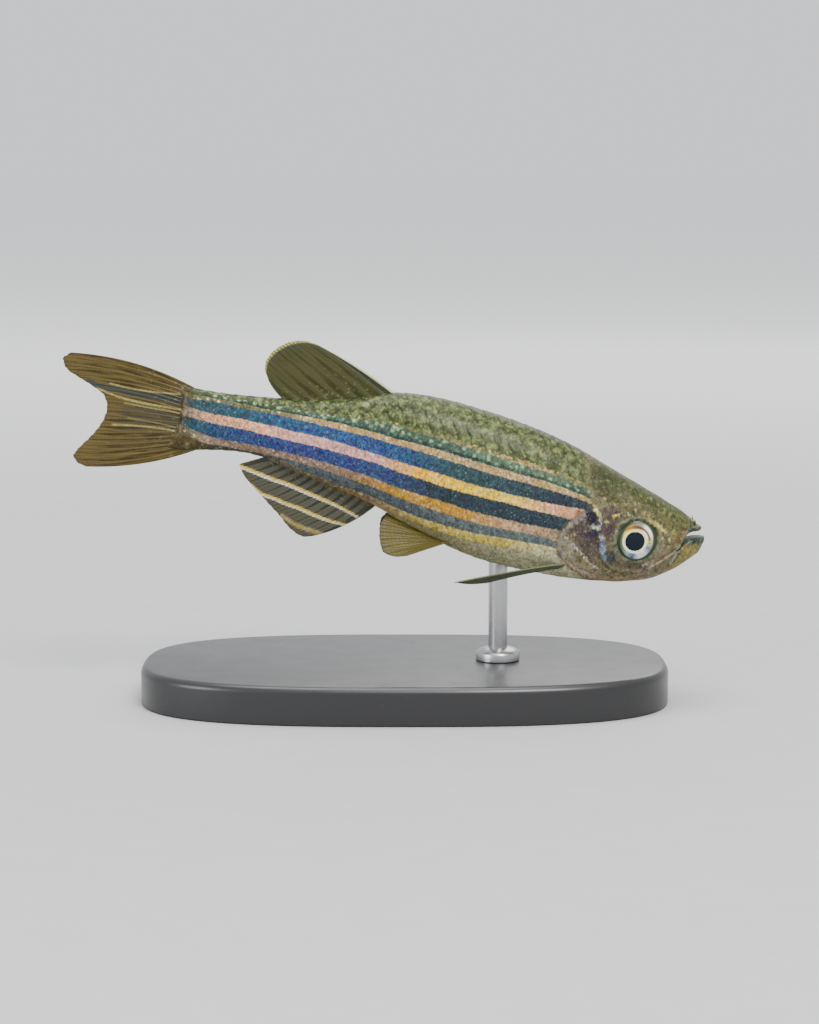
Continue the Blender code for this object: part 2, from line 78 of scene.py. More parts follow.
def put(kind, inputs=(), tree=None, **settings):
    """A node of a kind, with its settings and inputs, in the tree that its links come from."""
    inputs = dict(inputs)
    links = [value for value in inputs.values() if isinstance(value, bpy.types.NodeSocket)]
    made = (tree or links[0].id_data).nodes.new(kind)
    for name, value in settings.items():
        setattr(made, name, value)
    return join(made, inputs)


def calc(operation, *values, clamp=False):
    """The result of one arithmetic step."""
    return put("ShaderNodeMath", enumerate(values), operation=operation, use_clamp=clamp).outputs[0]


def times(*values):
    """The product of some values."""
    product = values[0]
    for value in values[1:]:
        product = calc("MULTIPLY", product, value)
    return product


def scaled(value, factor, start, clamp=False):
    """A value times a factor, plus a start."""
    return calc("MULTIPLY_ADD", value, factor, start, clamp=clamp)


def step(value, low, high):
    """0 below low, 1 above high, and an eased rise between them."""
    inputs = {"Value": value, "From Min": low, "From Max": high}
    return put("ShaderNodeMapRange", inputs, interpolation_type="SMOOTHSTEP").outputs[0]


def paint(red, green, blue):
    """A colour as a printer's 0 to 255 numbers, turned into the renderer's."""
    linear = []
    for value in (red, green, blue):
        share = value / 255
        linear.append(share / 12.92 if share <= 0.04045 else ((share + 0.055) / 1.055) ** 2.4)
    return (*linear, 1.0)


HAZE, LAMP_GAIN, VIVIDNESS = 0.02, 1.3, 1.06  # what the lamps and the view do to a paint


def pigment(red, green, blue):
    """The paint that looks like this colour, again in 0 to 255, once the lamps light it."""
    linear = [max((share - HAZE) / LAMP_GAIN, 0.001) for share in paint(red, green, blue)[:3]]
    middle = sum(linear) / 3
    return (*(max(middle + (share - middle) * VIVIDNESS, 0.001) for share in linear), 1.0)


def tinted(colour):
    """Three numbers stand for the pigment that looks so. A paint or a node's colour stays as it is."""
    return pigment(*colour) if isinstance(colour, tuple) and len(colour) == 3 else colour


def blend(share, first, second, mode="MIX"):
    """One colour laid over another."""
    inputs = {0: share, 6: tinted(first), 7: tinted(second)}
    return put("ShaderNodeMix", inputs, data_type="RGBA", blend_type=mode).outputs[2]


def layered(colour, *layers):
    """A colour with others laid over it in turn, each given as (share, colour)."""
    for share, tint in layers:
        colour = blend(share, colour, tint)
    return colour


def ramp(value, stops):
    """A colour that runs through the stops, each of a place from 0 to 1 and a colour."""
    made = put("ShaderNodeValToRGB", {0: value})
    elements = made.color_ramp.elements
    for element, (place, colour) in zip(elements, (stops[0], stops[-1])):
        element.position, element.color = place, tinted(colour)
    for place, colour in stops[1:-1]:
        elements.new(place).color = tinted(colour)
    return made.outputs[0]


def noise(place, scale, detail=2.0):
    """Smooth random values over a surface, scale being in patches for each millimetre."""
    return put("ShaderNodeTexNoise", {"Vector": place, "Scale": scale, "Detail": detail}).outputs[0]


def in_millimetres(tree):
    """The place on the object, in millimetres."""
    place = put("ShaderNodeTexCoord", tree=tree).outputs["Object"]
    return put("ShaderNodeVectorMath", {0: place, "Scale": 1000}, operation="SCALE").outputs[0]


def new_material(name):
    """A material, its tree and its Principled shader."""
    made = bpy.data.materials.new(name)
    made.use_nodes = True
    return made, made.node_tree, made.node_tree.nodes["Principled BSDF"]


def raw_mesh(name, points, faces):
    """An object from points and faces as they are."""
    mesh = bpy.data.meshes.new(name)
    mesh.from_pydata([tuple(point) for point in points], [], [tuple(face) for face in faces])
    made = bpy.data.objects.new(name, mesh)
    scene.collection.objects.link(made)
    return made


def dress(target, finish, crease=None):
    """Gives an object its finish, and smooth shading save at edges that bend more than the crease."""
    target.data.shade_smooth()
    if crease:
        target.data.set_sharp_from_angle(angle=math.radians(crease))
    target.data.materials.append(finish)


def circle(around):
    """(cosine, sine) of each of some even steps round a circle."""
    angles = 2 * math.pi * np.arange(around) / around
    return np.stack([np.cos(angles), np.sin(angles)], -1)


def fan(around, middle, first=0):
    """Triangles from a middle point to a ring of points that begins at the first."""
    return [(middle, first + j, first + (j + 1) % around) for j in range(around)]


def ring_faces(rings, around, first=0):
    """Faces between rings of points that follow one another from the first."""
    faces = []
    for start in range(first, first + (rings - 1) * around, around):
        for j in range(around):
            a, b = start + j, start + (j + 1) % around
            faces.append((a, a + around, b + around, b))
    return faces


FLOOR_AROUND, FLOOR_RINGS = 96, (0.05, 0.15, 0.4, 1.0, 3.0, 8.0, 20.0)
FLOOR_TONES = ((0.0, 0.41), (0.1, 0.45), (0.2, 0.6), (0.3, 0.78), (0.45, 0.96))  # by metres from the middle
floor_points = [(0, 0, 0)]
for radius in FLOOR_RINGS:
    floor_points += [(radius * c, radius * s, 0) for c, s in circle(FLOOR_AROUND)]
floor_faces = fan(FLOOR_AROUND, 0, 1) + ring_faces(len(FLOOR_RINGS), FLOOR_AROUND, 1)
floor = raw_mesh("studio_floor", floor_points, floor_faces)
floor_finish, tree, shader = new_material("pale_studio_floor")
from_middle = put("ShaderNodeTexCoord", tree=tree).outputs["Object"]
distance = put("ShaderNodeVectorMath", {0: from_middle}, operation="LENGTH").outputs["Value"]
stops = [(place, (tone, tone, tone * 0.995, 1)) for place, tone in FLOOR_TONES]
paler = ramp(distance, stops + [(1.0, (0.99, 0.99, 0.99, 1))])
grain = noise(in_millimetres(tree), 0.4, 3)
tone = blend(times(grain, 0.06), paler, paint(255, 255, 255))
join(shader, {"Roughness": 0.95, "Specular IOR Level": 0.1, "Base Color": tone})
dress(floor, floor_finish)

world = bpy.data.worlds.new("studio")
world.use_nodes = True
world.node_tree.nodes["Background"].inputs[0].default_value = (0.80, 0.82, 0.84, 1)
world.node_tree.nodes["Background"].inputs[1].default_value = 1.22
scene.world = world

LAMPS = (  # (name, place, width, power in watts, colour), all turned to the fish
    ("key_lamp", (0.10, -0.22, 0.30), 0.16, 1.55, (1.0, 0.975, 0.94)),
    ("top_lamp", (-0.02, 0.03, 0.36), 0.24, 1.0, (0.97, 0.985, 1.0)),
    ("left_lamp", (-0.28, -0.18, 0.12), 0.16, 0.62, (0.95, 0.975, 1.0)),
    ("back_lamp", (0.06, 0.30, 0.22), 0.20, 0.35, (1.0, 0.98, 0.95)),
)
for name, place, width, power, colour in LAMPS:
    lamp_data = bpy.data.lights.new(name, "AREA")
    lamp_data.shape = "DISK"
    lamp_data.size = width
    lamp_data.energy = power
    lamp_data.color = colour
    lamp = bpy.data.objects.new(name, lamp_data)
    scene.collection.objects.link(lamp)
    lamp.location = place
    lamp.rotation_euler = (Vector(place) - Vector((0, 0, 0.015))).to_track_quat("Z", "Y").to_euler()


# The skin. One soft form runs from the snout to the fleshy root of the tail fin: naked and thin over the
# bones of the head, gill covers and jaw, thicker under the scales. The eye sockets, nostrils and the edges
# of the gill covers are drawn in it, the mouth is cut into it, and lips and feelers grow out of it.
PITCH = math.radians(12.4)
TAIL_ROOT = (-14.5, 19.2)
SCALE_DEPTH = 0.06  # that the scales lie over the skin
BACK = (
    (-0.2, 2.16), (2.0, 2.27), (4.0, 2.50), (7.0, 2.97), (9.0, 3.42), (11.0, 4.02), (13.0, 4.74),
    (15.0, 5.02), (17.0, 5.06), (19.0, 4.93), (21.0, 4.74), (23.0, 4.44), (25.0, 4.04), (27.0, 3.46),
    (29.0, 2.80), (31.0, 2.15), (33.0, 1.45), (34.2, 0.98), (35.0, 0.56), (35.5, 0.16), (35.8, -0.24),
    (35.95, -0.62),
)
BELLY = (
    (-0.2, -2.22), (1.0, -1.98), (2.5, -1.68), (4.0, -1.50), (5.5, -1.56), (7.0, -1.90), (9.0, -2.27),
    (11.0, -2.60), (13.0, -3.02), (15.0, -3.66), (17.0, -4.28), (19.0, -4.82), (21.0, -5.18),
    (23.0, -5.30), (25.0, -5.28), (27.0, -5.21), (29.0, -5.02), (31.0, -4.65), (32.6, -4.15),
    (33.8, -3.45), (34.7, -2.66), (35.4, -1.90), (35.8, -1.30), (35.95, -0.70),
)
HALF_WIDTH = (
    (-0.2, 0.62), (2.0, 0.80), (4.0, 0.98), (7.0, 1.32), (10.0, 1.72), (13.0, 2.10), (16.0, 2.42),
    (19.0, 2.62), (22.0, 2.70), (25.0, 2.66), (28.0, 2.52), (30.0, 2.38), (31.5, 2.20), (33.0, 1.84),
    (34.2, 1.38), (35.0, 0.96), (35.5, 0.62), (35.8, 0.32), (35.95, 0.05),
)
WIDEST = ((-0.2, 0.5), (10.0, 0.56), (20.0, 0.55), (27.0, 0.58), (31.0, 0.64), (34.5, 0.56), (35.95, 0.5))
CROWN = ((-0.2, 0.95), (20.0, 0.92), (27.0, 0.84), (31.0, 0.76), (34.0, 0.82), (35.95, 0.95))
SIDE_ROUNDNESS = 0.92
TAIL_FLESH = 0.9  # that the scaly root of the tail fin reaches over its rays
TAIL_END = -0.2  # where the tables of the body's form begin

EYE_X, EYE_Z = 31.2, -1.38
NOSTRIL_X, NOSTRIL_Z = 33.35, 0.62
GILL_EDGE = (
    (29.2, 1.6), (28.7, 0.75), (28.1, 0.38), (27.1, -0.30), (26.4, -1.10), (26.0, -2.0), (25.95, -2.8),
    (26.3, -3.5), (27.1, -4.15), (28.2, -4.7), (29.0, -5.6),
)
CHEEK_EDGE = (
    (29.35, -0.1), (28.8, -0.9), (28.62, -1.8), (28.8, -2.7), (29.3, -3.4), (30.2, -3.85), (31.4, -3.75),
)
COVER_SEAM = ((26.45, -2.12), (26.74, -2.36), (27.35, -2.76), (28.05, -3.23), (28.52, -3.60), (29.0, -3.75))
JAW_SEAM = ((34.0, -2.4), (33.4, -2.95), (32.4, -3.45), (31.2, -3.95), (30.2, -4.4))
THROAT_SEAM = ((30.6, -4.25), (29.3, -4.3), (28.0, -4.15), (26.9, -3.75))
MOUTH = (
    (36.6, 0.3), (35.4, 0.06), (34.96, -0.04), (34.56, -0.28), (34.37, -0.65), (34.22, -1.14), (34.12, -1.6),
    (34.4, -1.3), (34.84, -0.74), (35.37, -0.46), (35.85, -0.32), (36.6, -0.2),
)
UPPER_LIP = ((34.1, -1.45), (34.2, -1.0), (34.3, -0.55), (34.52, -0.16), (34.9, 0.06), (35.24, 0.13))
LOWER_LIP = ((34.28, -1.75), (34.52, -1.24), (34.9, -0.84), (35.35, -0.62), (35.66, -0.53))
BARBELS = (  # (root, tip, thickness at the root)
    ((34.95, 0.6, 0.42), (34.86, 0.74, 0.8), 0.09),
    ((34.05, 1.3, -1.6), (32.4, 2.12, -3.05), 0.12),
)


def along(table, x):
    """The values at x of a smooth curve through the table's points."""
    xs, ys = (np.array(column) for column in zip(*table))
    slopes = np.gradient(ys, xs)
    x = np.clip(x, xs[0], xs[-1])
    i = np.clip(np.searchsorted(xs, x, side="right") - 1, 0, len(xs) - 2)
    span = xs[i + 1] - xs[i]
    u = (x - xs[i]) / span
    ease = u * u * (3 - 2 * u)
    bend = span * (slopes[i] * u * (1 - u) ** 2 - slopes[i + 1] * u * u * (1 - u))
    return ys[i] * (1 - ease) + ys[i + 1] * ease + bend


def through(points, t):
    """The points at t, from 0 to 1, of a smooth curve through some points, evenly spaced by length."""
    lengths = np.linalg.norm(np.diff(np.array(points), axis=0), axis=1)
    reach = np.concatenate([[0], np.cumsum(lengths)]) / lengths.sum()
    return np.stack([along(list(zip(reach, column)), t) for column in zip(*points)], -1)


def rise_between(low, high, value):
    """0 at low and 1 at high, eased at both ends."""
    share = np.clip((value - low) / (high - low), 0, 1)
    return share * share * (3 - 2 * share)


def hump(value, width):
    """A bell of height 1 about 0."""
    return np.exp(-((value / width) ** 2))


def outline(x):
    """(back, belly, height of the widest place, half width, crown's roundness) of the body at x."""
    beyond = np.clip((TAIL_END - x) / TAIL_FLESH, 0, 1)
    back = along(BACK, x) + 0.12 * beyond
    belly = along(BELLY, x) - 0.1 * beyond
    half = along(HALF_WIDTH, x) * np.sqrt(1 - (0.995 * beyond) ** 2)
    return back, belly, belly + along(WIDEST, x) * (back - belly), half, along(CROWN, x)


def form_at(x, angle, inset=0.0):
    """Points on the body's form. The angle runs from the back, at 0, down the right flank to the belly."""
    back, belly, widest, half, crown = outline(x)
    c, s = np.cos(angle), np.sin(angle)
    lift = np.where(c > 0, (back - inset - widest) * np.abs(c) ** crown, (widest - belly - inset) * c)
    y = -(half - inset * np.minimum(half / 0.3, 1)) * np.sign(s) * np.abs(s) ** SIDE_ROUNDNESS
    return np.stack([x + 0 * angle, y, widest + lift], -1)


def side_at(x, z):
    """Half of the body's thickness at (x, z)."""
    back, belly, widest, half, crown = outline(x)
    share = np.where(z > widest, (z - widest) / (back - widest), (widest - z) / (widest - belly))
    rise = np.clip(share, 0, 1) ** (1 / np.where(z > widest, crown, 1.0))
    return half * (1 - rise * rise) ** (SIDE_ROUNDNESS / 2)


def line_distance(line, x, z):
    """How far points are from a smooth side-view line, positive on the left of one who walks along it."""
    path = through(line, np.linspace(0, 1, 8 * len(line)))
    nearest = np.full(np.shape(x), 1e9)
    side = np.ones(np.shape(x))
    for (ax, az), (bx, bz) in zip(path[:-1], path[1:]):
        dx, dz = bx - ax, bz - az
        share = np.clip(((x - ax) * dx + (z - az) * dz) / (dx * dx + dz * dz), 0, 1)
        gap = np.hypot(x - ax - share * dx, z - az - share * dz)
        closer = gap < nearest
        nearest = np.where(closer, gap, nearest)
        side = np.where(closer, np.sign(dx * (z - az) - dz * (x - ax)), side)
    return nearest * side


def placed(points):
    """Points of the fish's frame, in millimetres, as places in the scene, in metres."""
    x, y, z = np.moveaxis(np.asarray(points, float), -1, 0)
    east = TAIL_ROOT[0] + x * math.cos(PITCH) + z * math.sin(PITCH)
    up = TAIL_ROOT[1] - x * math.sin(PITCH) + z * math.cos(PITCH)
    return np.stack([east, y, up], -1) * MM


def solid(name, points, faces):
    """A closed object with its faces turned outward."""
    made = raw_mesh(name, points, faces)
    shaped = bmesh.new()
    shaped.from_mesh(made.data)
    bmesh.ops.recalc_face_normals(shaped, faces=shaped.faces)
    shaped.to_mesh(made.data)
    shaped.free()
    return made


def closed_faces(rings, around):
    """The faces of a closed body whose points lie in rings."""
    last = (rings - 1) * around
    return ring_faces(rings, around) + [tuple(range(around)), tuple(range(last, last + around))]


def tube(name, path, radii, sides=16):
    """A round bar along a path of points, closed at both ends."""
    points = []
    for i, point in enumerate(path):
        ahead = Vector(path[min(i + 1, len(path) - 1)] - path[max(i - 1, 0)])
        turn = ahead.to_track_quat("Z", "Y")
        for c, s in circle(sides):
            points.append(Vector(point) + turn @ Vector((c, s, 0)) * radii[i])
    return solid(name, points, closed_faces(len(path), sides))


def combine(target, other, operation):
    """Joins or cuts the target by another closed object."""
    modifier = target.modifiers.new(operation.title(), "BOOLEAN")
    modifier.operation = operation
    modifier.solver = "MANIFOLD"
    modifier.object = other
    graph = bpy.context.evaluated_depsgraph_get()
    mesh = bpy.data.meshes.new_from_object(target.evaluated_get(graph))
    target.modifiers.clear()
    target.data = mesh
    bpy.data.objects.remove(other)


def corners(target):
    """An object's points as an array."""
    found = np.zeros(len(target.data.vertices) * 3)
    target.data.vertices.foreach_get("co", found)
    return found.reshape(-1, 3)


def move_corners(target, points):
    target.data.vertices.foreach_set("co", np.asarray(points, float).ravel())
    target.data.update()


def mark(target, name, values):
    """Keeps a value or a colour for each point of an object, for its finish to read."""
    kind, field = ("FLOAT", "value") if np.ndim(values) == 1 else ("FLOAT_COLOR", "color")
    kept = target.data.attributes.new(name, kind, "POINT")
    kept.data.foreach_set(field, np.asarray(values, float).ravel())


def skin_relief(x, y, z):
    """How far the skin stands out of the plain form, or sinks into it."""
    away = line_distance(GILL_EDGE, x, z)
    low = 1 - rise_between(0.1, 0.9, z)
    flap = 0.10 * rise_between(0.0, 0.09, away) * np.exp(-np.maximum(away, 0) / 1.5)
    slit = 0.13 * hump(away + 0.09, 0.12)
    beside = rise_between(0.25, 1.0, np.abs(y))
    raised = low * (flap - slit) * beside
    cheek = line_distance(CHEEK_EDGE, x, z)
    raised += 0.04 * hump(cheek - 0.17, 0.14) - 0.055 * hump(cheek, 0.07)
    for seam, depth, width in ((COVER_SEAM, 0.05, 0.06), (JAW_SEAM, 0.04, 0.09), (THROAT_SEAM, 0.04, 0.07)):
        raised -= depth * hump(line_distance(seam, x, z), width)
    round_eye = np.hypot(x - EYE_X, z - EYE_Z)
    raised += 0.05 * hump(round_eye - 1.42, 0.11) - 0.03 * hump(round_eye - 1.68, 0.1)
    raised -= 0.5 * (1 - rise_between(1.25, 1.335, round_eye))
    round_nostril = np.hypot(x - NOSTRIL_X, (z - NOSTRIL_Z) * 1.25)
    raised += 0.04 * hump(round_nostril - 0.27, 0.08) - 0.16 * (1 - rise_between(0.06, 0.2, round_nostril))
    bones = np.sin(2.6 * x + 1.3 * z) * np.sin(2.1 * z - 0.8 * x + 1) * 0.02
    raised += bones * rise_between(0.3, 1.2, away)
    return raised


ROUND = 264
ROW, FINE_ROW = 0.19, 0.05  # between the skin's rings of points, on the body and on the head
SNOUT, SNOUT_LENGTH = 35.3, 0.648
rounding = SNOUT + SNOUT_LENGTH * (1 - (1 - np.linspace(0, 1, 24)) ** 2)
stations = np.concatenate(
    [np.arange(TAIL_END - TAIL_FLESH, 25.4, ROW), np.arange(25.5, SNOUT, FINE_ROW), rounding]
)
turns = 2 * math.pi * np.arange(ROUND) / ROUND
grid = form_at(stations[:, None], turns[None, :], SCALE_DEPTH)
beyond = grid[..., 0] - TAIL_END
root_end = 0.62 + 0.5 * np.abs(grid[..., 2] / 2.2) ** 1.5 + 0.05 * np.sin(8 * grid[..., 2])
grid[..., 0] = np.where(beyond < 0, TAIL_END + beyond * root_end, grid[..., 0])
down = np.gradient(grid, axis=0)
across = np.roll(grid, -1, 1) - np.roll(grid, 1, 1)
outward = np.cross(across, down)
outward /= np.linalg.norm(outward, axis=-1, keepdims=True) + 1e-12
outward *= np.sign((outward * (grid - grid.mean(axis=1, keepdims=True))).sum(-1, keepdims=True))
grid += outward * skin_relief(grid[..., 0], grid[..., 1], grid[..., 2])[..., None]
last = (len(stations) - 1) * ROUND
skin_points = np.concatenate([grid.reshape(-1, 3), [grid[0].mean(0)], [grid[-1].mean(0)]])
skin_faces = ring_faces(len(stations), ROUND) + fan(ROUND, last + ROUND) + fan(ROUND, last + ROUND + 1, last)
skin = solid("skin", skin_points, skin_faces)

cut_line = through(MOUTH, np.linspace(0, 1, 60))
cut_sides = [np.insert(cut_line, 1, y, axis=1) for y in (-4.0, 4.0)]
combine(skin, solid("mouth", np.concatenate(cut_sides), closed_faces(2, len(cut_line))), "DIFFERENCE")
for line, thick in ((UPPER_LIP, 0.19), (LOWER_LIP, 0.18)):
    right = [(x, -max(side_at(x, z) - 0.08, 0.22), z) for x, z in line]
    left = [(x, -y, z) for x, y, z in reversed(right)]
    shares = np.linspace(0, 1, 61)
    radii = thick * (0.5 + 0.5 * np.sin(math.pi * shares) ** 0.7)
    combine(skin, tube("lip", through(right + left, shares), radii), "UNION")
for root, tip, thick in BARBELS:
    for side in (-1, 1):
        shares = np.linspace(0, 1, 24)
        path = np.array(root) + (np.array(tip) - np.array(root)) * shares[:, None]
        path[:, 1] = side * (path[:, 1] + 0.1 * 4 * shares * (1 - shares))
        combine(skin, tube("barbel", path, thick * (1 - 0.8 * shares), 10), "UNION")

shaped = bmesh.new()
shaped.from_mesh(skin.data)
lip_lines = np.concatenate([through(line, np.linspace(0, 1, 24)) for line in (UPPER_LIP, LOWER_LIP)])
soft = []
for vert in shaped.verts:
    if vert.co.x > 33.6 and np.hypot(*(lip_lines - (vert.co.x, vert.co.z)).T).min() < 0.3:
        soft.append(vert)
for _ in range(4):
    bmesh.ops.smooth_vert(
        shaped, verts=soft, factor=0.5, use_axis_x=True, use_axis_y=True, use_axis_z=True
    )
bmesh.ops.triangulate(shaped, faces=[face for face in shaped.faces if len(face.verts) > 4])
shaped.to_mesh(skin.data)
shaped.free()

# The markings. The stripes are layers of silvery, golden and black pigment cells in the skin, and the same
# ones show through the clear scales. Each of the lines below is one edge of a stripe on the flank, as a
# share of the body's depth above the belly, from the tail fin's root forward to the gill cover.
EDGES = (
    ((-1.5, -0.04), (7, -0.04), (8, 0.0), (10, 0.02), (13, 0.035), (15, 0.05), (17, 0.08), (19, 0.11),
     (21, 0.14), (23, 0.165), (25, 0.19), (27, 0.2)),
    ((-1.5, -0.02), (5, -0.02), (6, 0.05), (7, 0.11), (8, 0.08), (9, 0.075), (12, 0.07), (14, 0.09),
     (16, 0.11), (18, 0.145), (20, 0.18), (22, 0.215), (25, 0.24), (27, 0.245)),
    ((-1.5, 0.26), (0.5, 0.22), (1, 0.16), (2, 0.115), (3, 0.08), (4, 0.055), (5, 0.07), (6, 0.10),
     (7, 0.15), (8, 0.165), (10, 0.175), (12, 0.168), (14, 0.18), (16, 0.205), (18, 0.235), (20, 0.26),
     (22, 0.28), (24, 0.30), (26, 0.30)),
    ((-1.5, 0.42), (0, 0.37), (1, 0.30), (2, 0.225), (3, 0.20), (4, 0.185), (5, 0.185), (6, 0.21),
     (7, 0.24), (8, 0.255), (10, 0.265), (12, 0.25), (14, 0.25), (16, 0.28), (18, 0.31), (20, 0.33),
     (22, 0.35), (24, 0.362), (26, 0.385)),
    ((-1.5, 0.56), (0, 0.54), (1, 0.51), (2, 0.475), (3, 0.45), (4, 0.425), (5, 0.40), (6, 0.41),
     (8, 0.425), (10, 0.42), (12, 0.395), (14, 0.385), (16, 0.40), (18, 0.42), (20, 0.445), (22, 0.465),
     (24, 0.475), (26, 0.49)),
    ((-1.5, 0.72), (0, 0.69), (1, 0.645), (2, 0.625), (3, 0.605), (4, 0.585), (5, 0.565), (6, 0.56),
     (8, 0.555), (9, 0.545), (10, 0.525), (12, 0.475), (13, 0.46), (15, 0.465), (17, 0.485), (19, 0.50),
     (21, 0.52), (23, 0.535), (25, 0.555), (27, 0.60)),
    ((-1.5, 0.85), (0, 0.84), (1, 0.845), (2, 0.83), (3, 0.80), (4, 0.78), (6, 0.75), (8, 0.715),
     (10, 0.665), (12, 0.62), (13, 0.595), (15, 0.595), (17, 0.605), (19, 0.615), (21, 0.625),
     (23, 0.638), (25, 0.65), (27, 0.67)),
    ((-1.5, 0.91), (0, 0.90), (1, 0.895), (3, 0.86), (5, 0.81), (7, 0.79), (9, 0.755), (11, 0.70),
     (12, 0.665), (13, 0.64), (16, 0.645), (19, 0.66), (22, 0.678), (25, 0.695), (27, 0.70)),
    ((-1.5, 0.96), (2, 0.95), (5, 0.895), (9, 0.825), (12, 0.77), (15, 0.728), (17, 0.737), (20, 0.743),
     (23, 0.758), (27, 0.77)),
    ((-1.5, 0.965), (2, 0.955), (5, 0.905), (9, 0.837), (12, 0.784), (15, 0.742), (17, 0.751), (20, 0.757),
     (23, 0.771), (27, 0.782)),
)


def stripe_at(x, rise):
    """Which stripe a point lies in: 0 to 1 is the belly, and each edge above it adds one."""
    levels = [0 * x] + [along(edge, x) for edge in EDGES] + [0 * x + 1.0]
    levels = np.maximum.accumulate(np.stack(levels), axis=0)
    found = 0 * x
    for i in range(len(levels) - 1):
        room = np.maximum(levels[i + 1] - levels[i], 1e-4)
        found += np.clip((rise - levels[i]) / room, 0, 1)
    return found


HEAD_PATCHES = (  # (x, z, half length, half height, slope in degrees, colour, strength, silver)
    (31.5, 1.7, 5.0, 1.1, -20, (74, 80, 56), 0.9, 0.0),
    (29.6, 0.9, 2.4, 0.6, -22, (84, 84, 60), 0.7, 0.1),
    (31.4, 0.4, 1.6, 0.5, -22, (108, 104, 76), 0.7, 0.1),
    (33.6, 0.2, 1.3, 0.8, -30, (102, 104, 70), 0.8, 0.1),
    (27.7, -1.2, 1.5, 1.3, -40, (92, 82, 84), 0.9, 0.2),
    (27.75, -0.35, 0.75, 0.5, -50, (50, 46, 62), 0.95, 0.2),
    (28.15, -1.6, 0.55, 0.6, -40, (60, 54, 70), 0.9, 0.2),
    (28.3, -2.6, 1.2, 0.8, -40, (98, 88, 82), 0.8, 0.2),
    (26.7, -3.0, 0.7, 1.0, 30, (160, 154, 134), 0.7, 0.1),
    (27.8, -4.2, 2.2, 0.55, 0, (172, 160, 136), 0.8, 0.1),
    (29.1, -0.95, 0.5, 0.85, 0, (84, 68, 74), 0.9, 0.1),
    (29.2, 0.12, 0.9, 0.42, -10, (86, 72, 80), 0.75, 0.1),
    (28.0, 2.1, 1.6, 0.9, -20, (60, 66, 46), 0.8, 0.0),
    (29.75, -2.9, 0.65, 0.55, -30, (76, 78, 82), 0.9, 0.1),
    (31.3, -3.12, 1.6, 0.33, 5, (94, 86, 76), 0.9, 0.0),
    (33.1, -2.0, 0.7, 0.8, 20, (138, 128, 104), 0.8, 0.0),
    (32.2, -3.65, 1.8, 0.45, 10, (144, 132, 112), 0.8, 0.05),
    (31.0, -4.35, 2.8, 0.35, 8, (168, 150, 118), 0.8, 0.0),
    (35.1, -1.7, 0.9, 0.9, 40, (150, 142, 82), 0.9, 0.0),
    (34.3, -2.9, 0.9, 0.5, 40, (148, 136, 84), 0.8, 0.0),
    (33.8, -0.7, 0.7, 0.6, -40, (126, 116, 84), 0.7, 0.1),
    (34.86, 0.86, 0.16, 0.3, 0, (176, 180, 150), 0.9, 0.0),
    (26.9, -1.84, 0.16, 0.13, 0, (188, 158, 130), 0.8, 0.3),
    (27.0, -0.74, 0.2, 0.12, 20, (180, 168, 140), 0.7, 0.3),
    (28.24, -1.04, 0.32, 0.13, -8, (222, 244, 214), 1.0, 0.6),
    (28.86, -0.56, 0.13, 0.12, 0, (228, 224, 140), 1.0, 0.6),
    (29.3, -0.05, 0.2, 0.11, 40, (230, 222, 110), 1.0, 0.6),
    (29.62, 0.18, 0.2, 0.09, 30, (214, 206, 130), 0.9, 0.5),
    (28.83, -1.68, 0.17, 0.16, 0, (205, 218, 205), 1.0, 0.6),
    (28.92, -1.98, 0.13, 0.15, 0, (104, 104, 190), 0.9, 0.5),
    (29.08, -2.45, 0.2, 0.36, 8, (150, 174, 212), 1.0, 0.6),
    (29.35, -3.0, 0.15, 0.22, 10, (140, 158, 196), 0.8, 0.5),
    (33.0, -0.38, 0.15, 0.11, 0, (205, 190, 160), 0.9, 0.4),
    (32.85, -0.86, 0.12, 0.12, 0, (205, 195, 150), 0.9, 0.4),
    (33.4, -0.94, 0.17, 0.11, -25, (222, 216, 140), 1.0, 0.4),
    (33.53, -0.33, 0.14, 0.16, 0, (186, 192, 104), 0.9, 0.4),
    (32.2, -2.9, 0.25, 0.12, 20, (178, 166, 154), 0.7, 0.3),
    (32.7, -2.5, 0.2, 0.1, 30, (168, 156, 150), 0.7, 0.3),
    (30.0, 0.9, 0.22, 0.09, 10, (182, 172, 132), 0.8, 0.3),
    (30.6, 0.62, 0.14, 0.1, 0, (196, 190, 160), 0.8, 0.3),
    (31.2, 0.55, 0.12, 0.1, 0, (186, 172, 140), 0.8, 0.3),
    (30.3, 0.28, 0.24, 0.08, -10, (200, 196, 158), 0.9, 0.4),
    (31.6, 0.45, 0.1, 0.14, 0, (182, 168, 120), 0.7, 0.3),
    (28.4, 0.95, 0.16, 0.1, 0, (196, 178, 116), 0.8, 0.3),
    (29.2, 0.75, 0.14, 0.1, 0, (190, 180, 140), 0.7, 0.3),
)
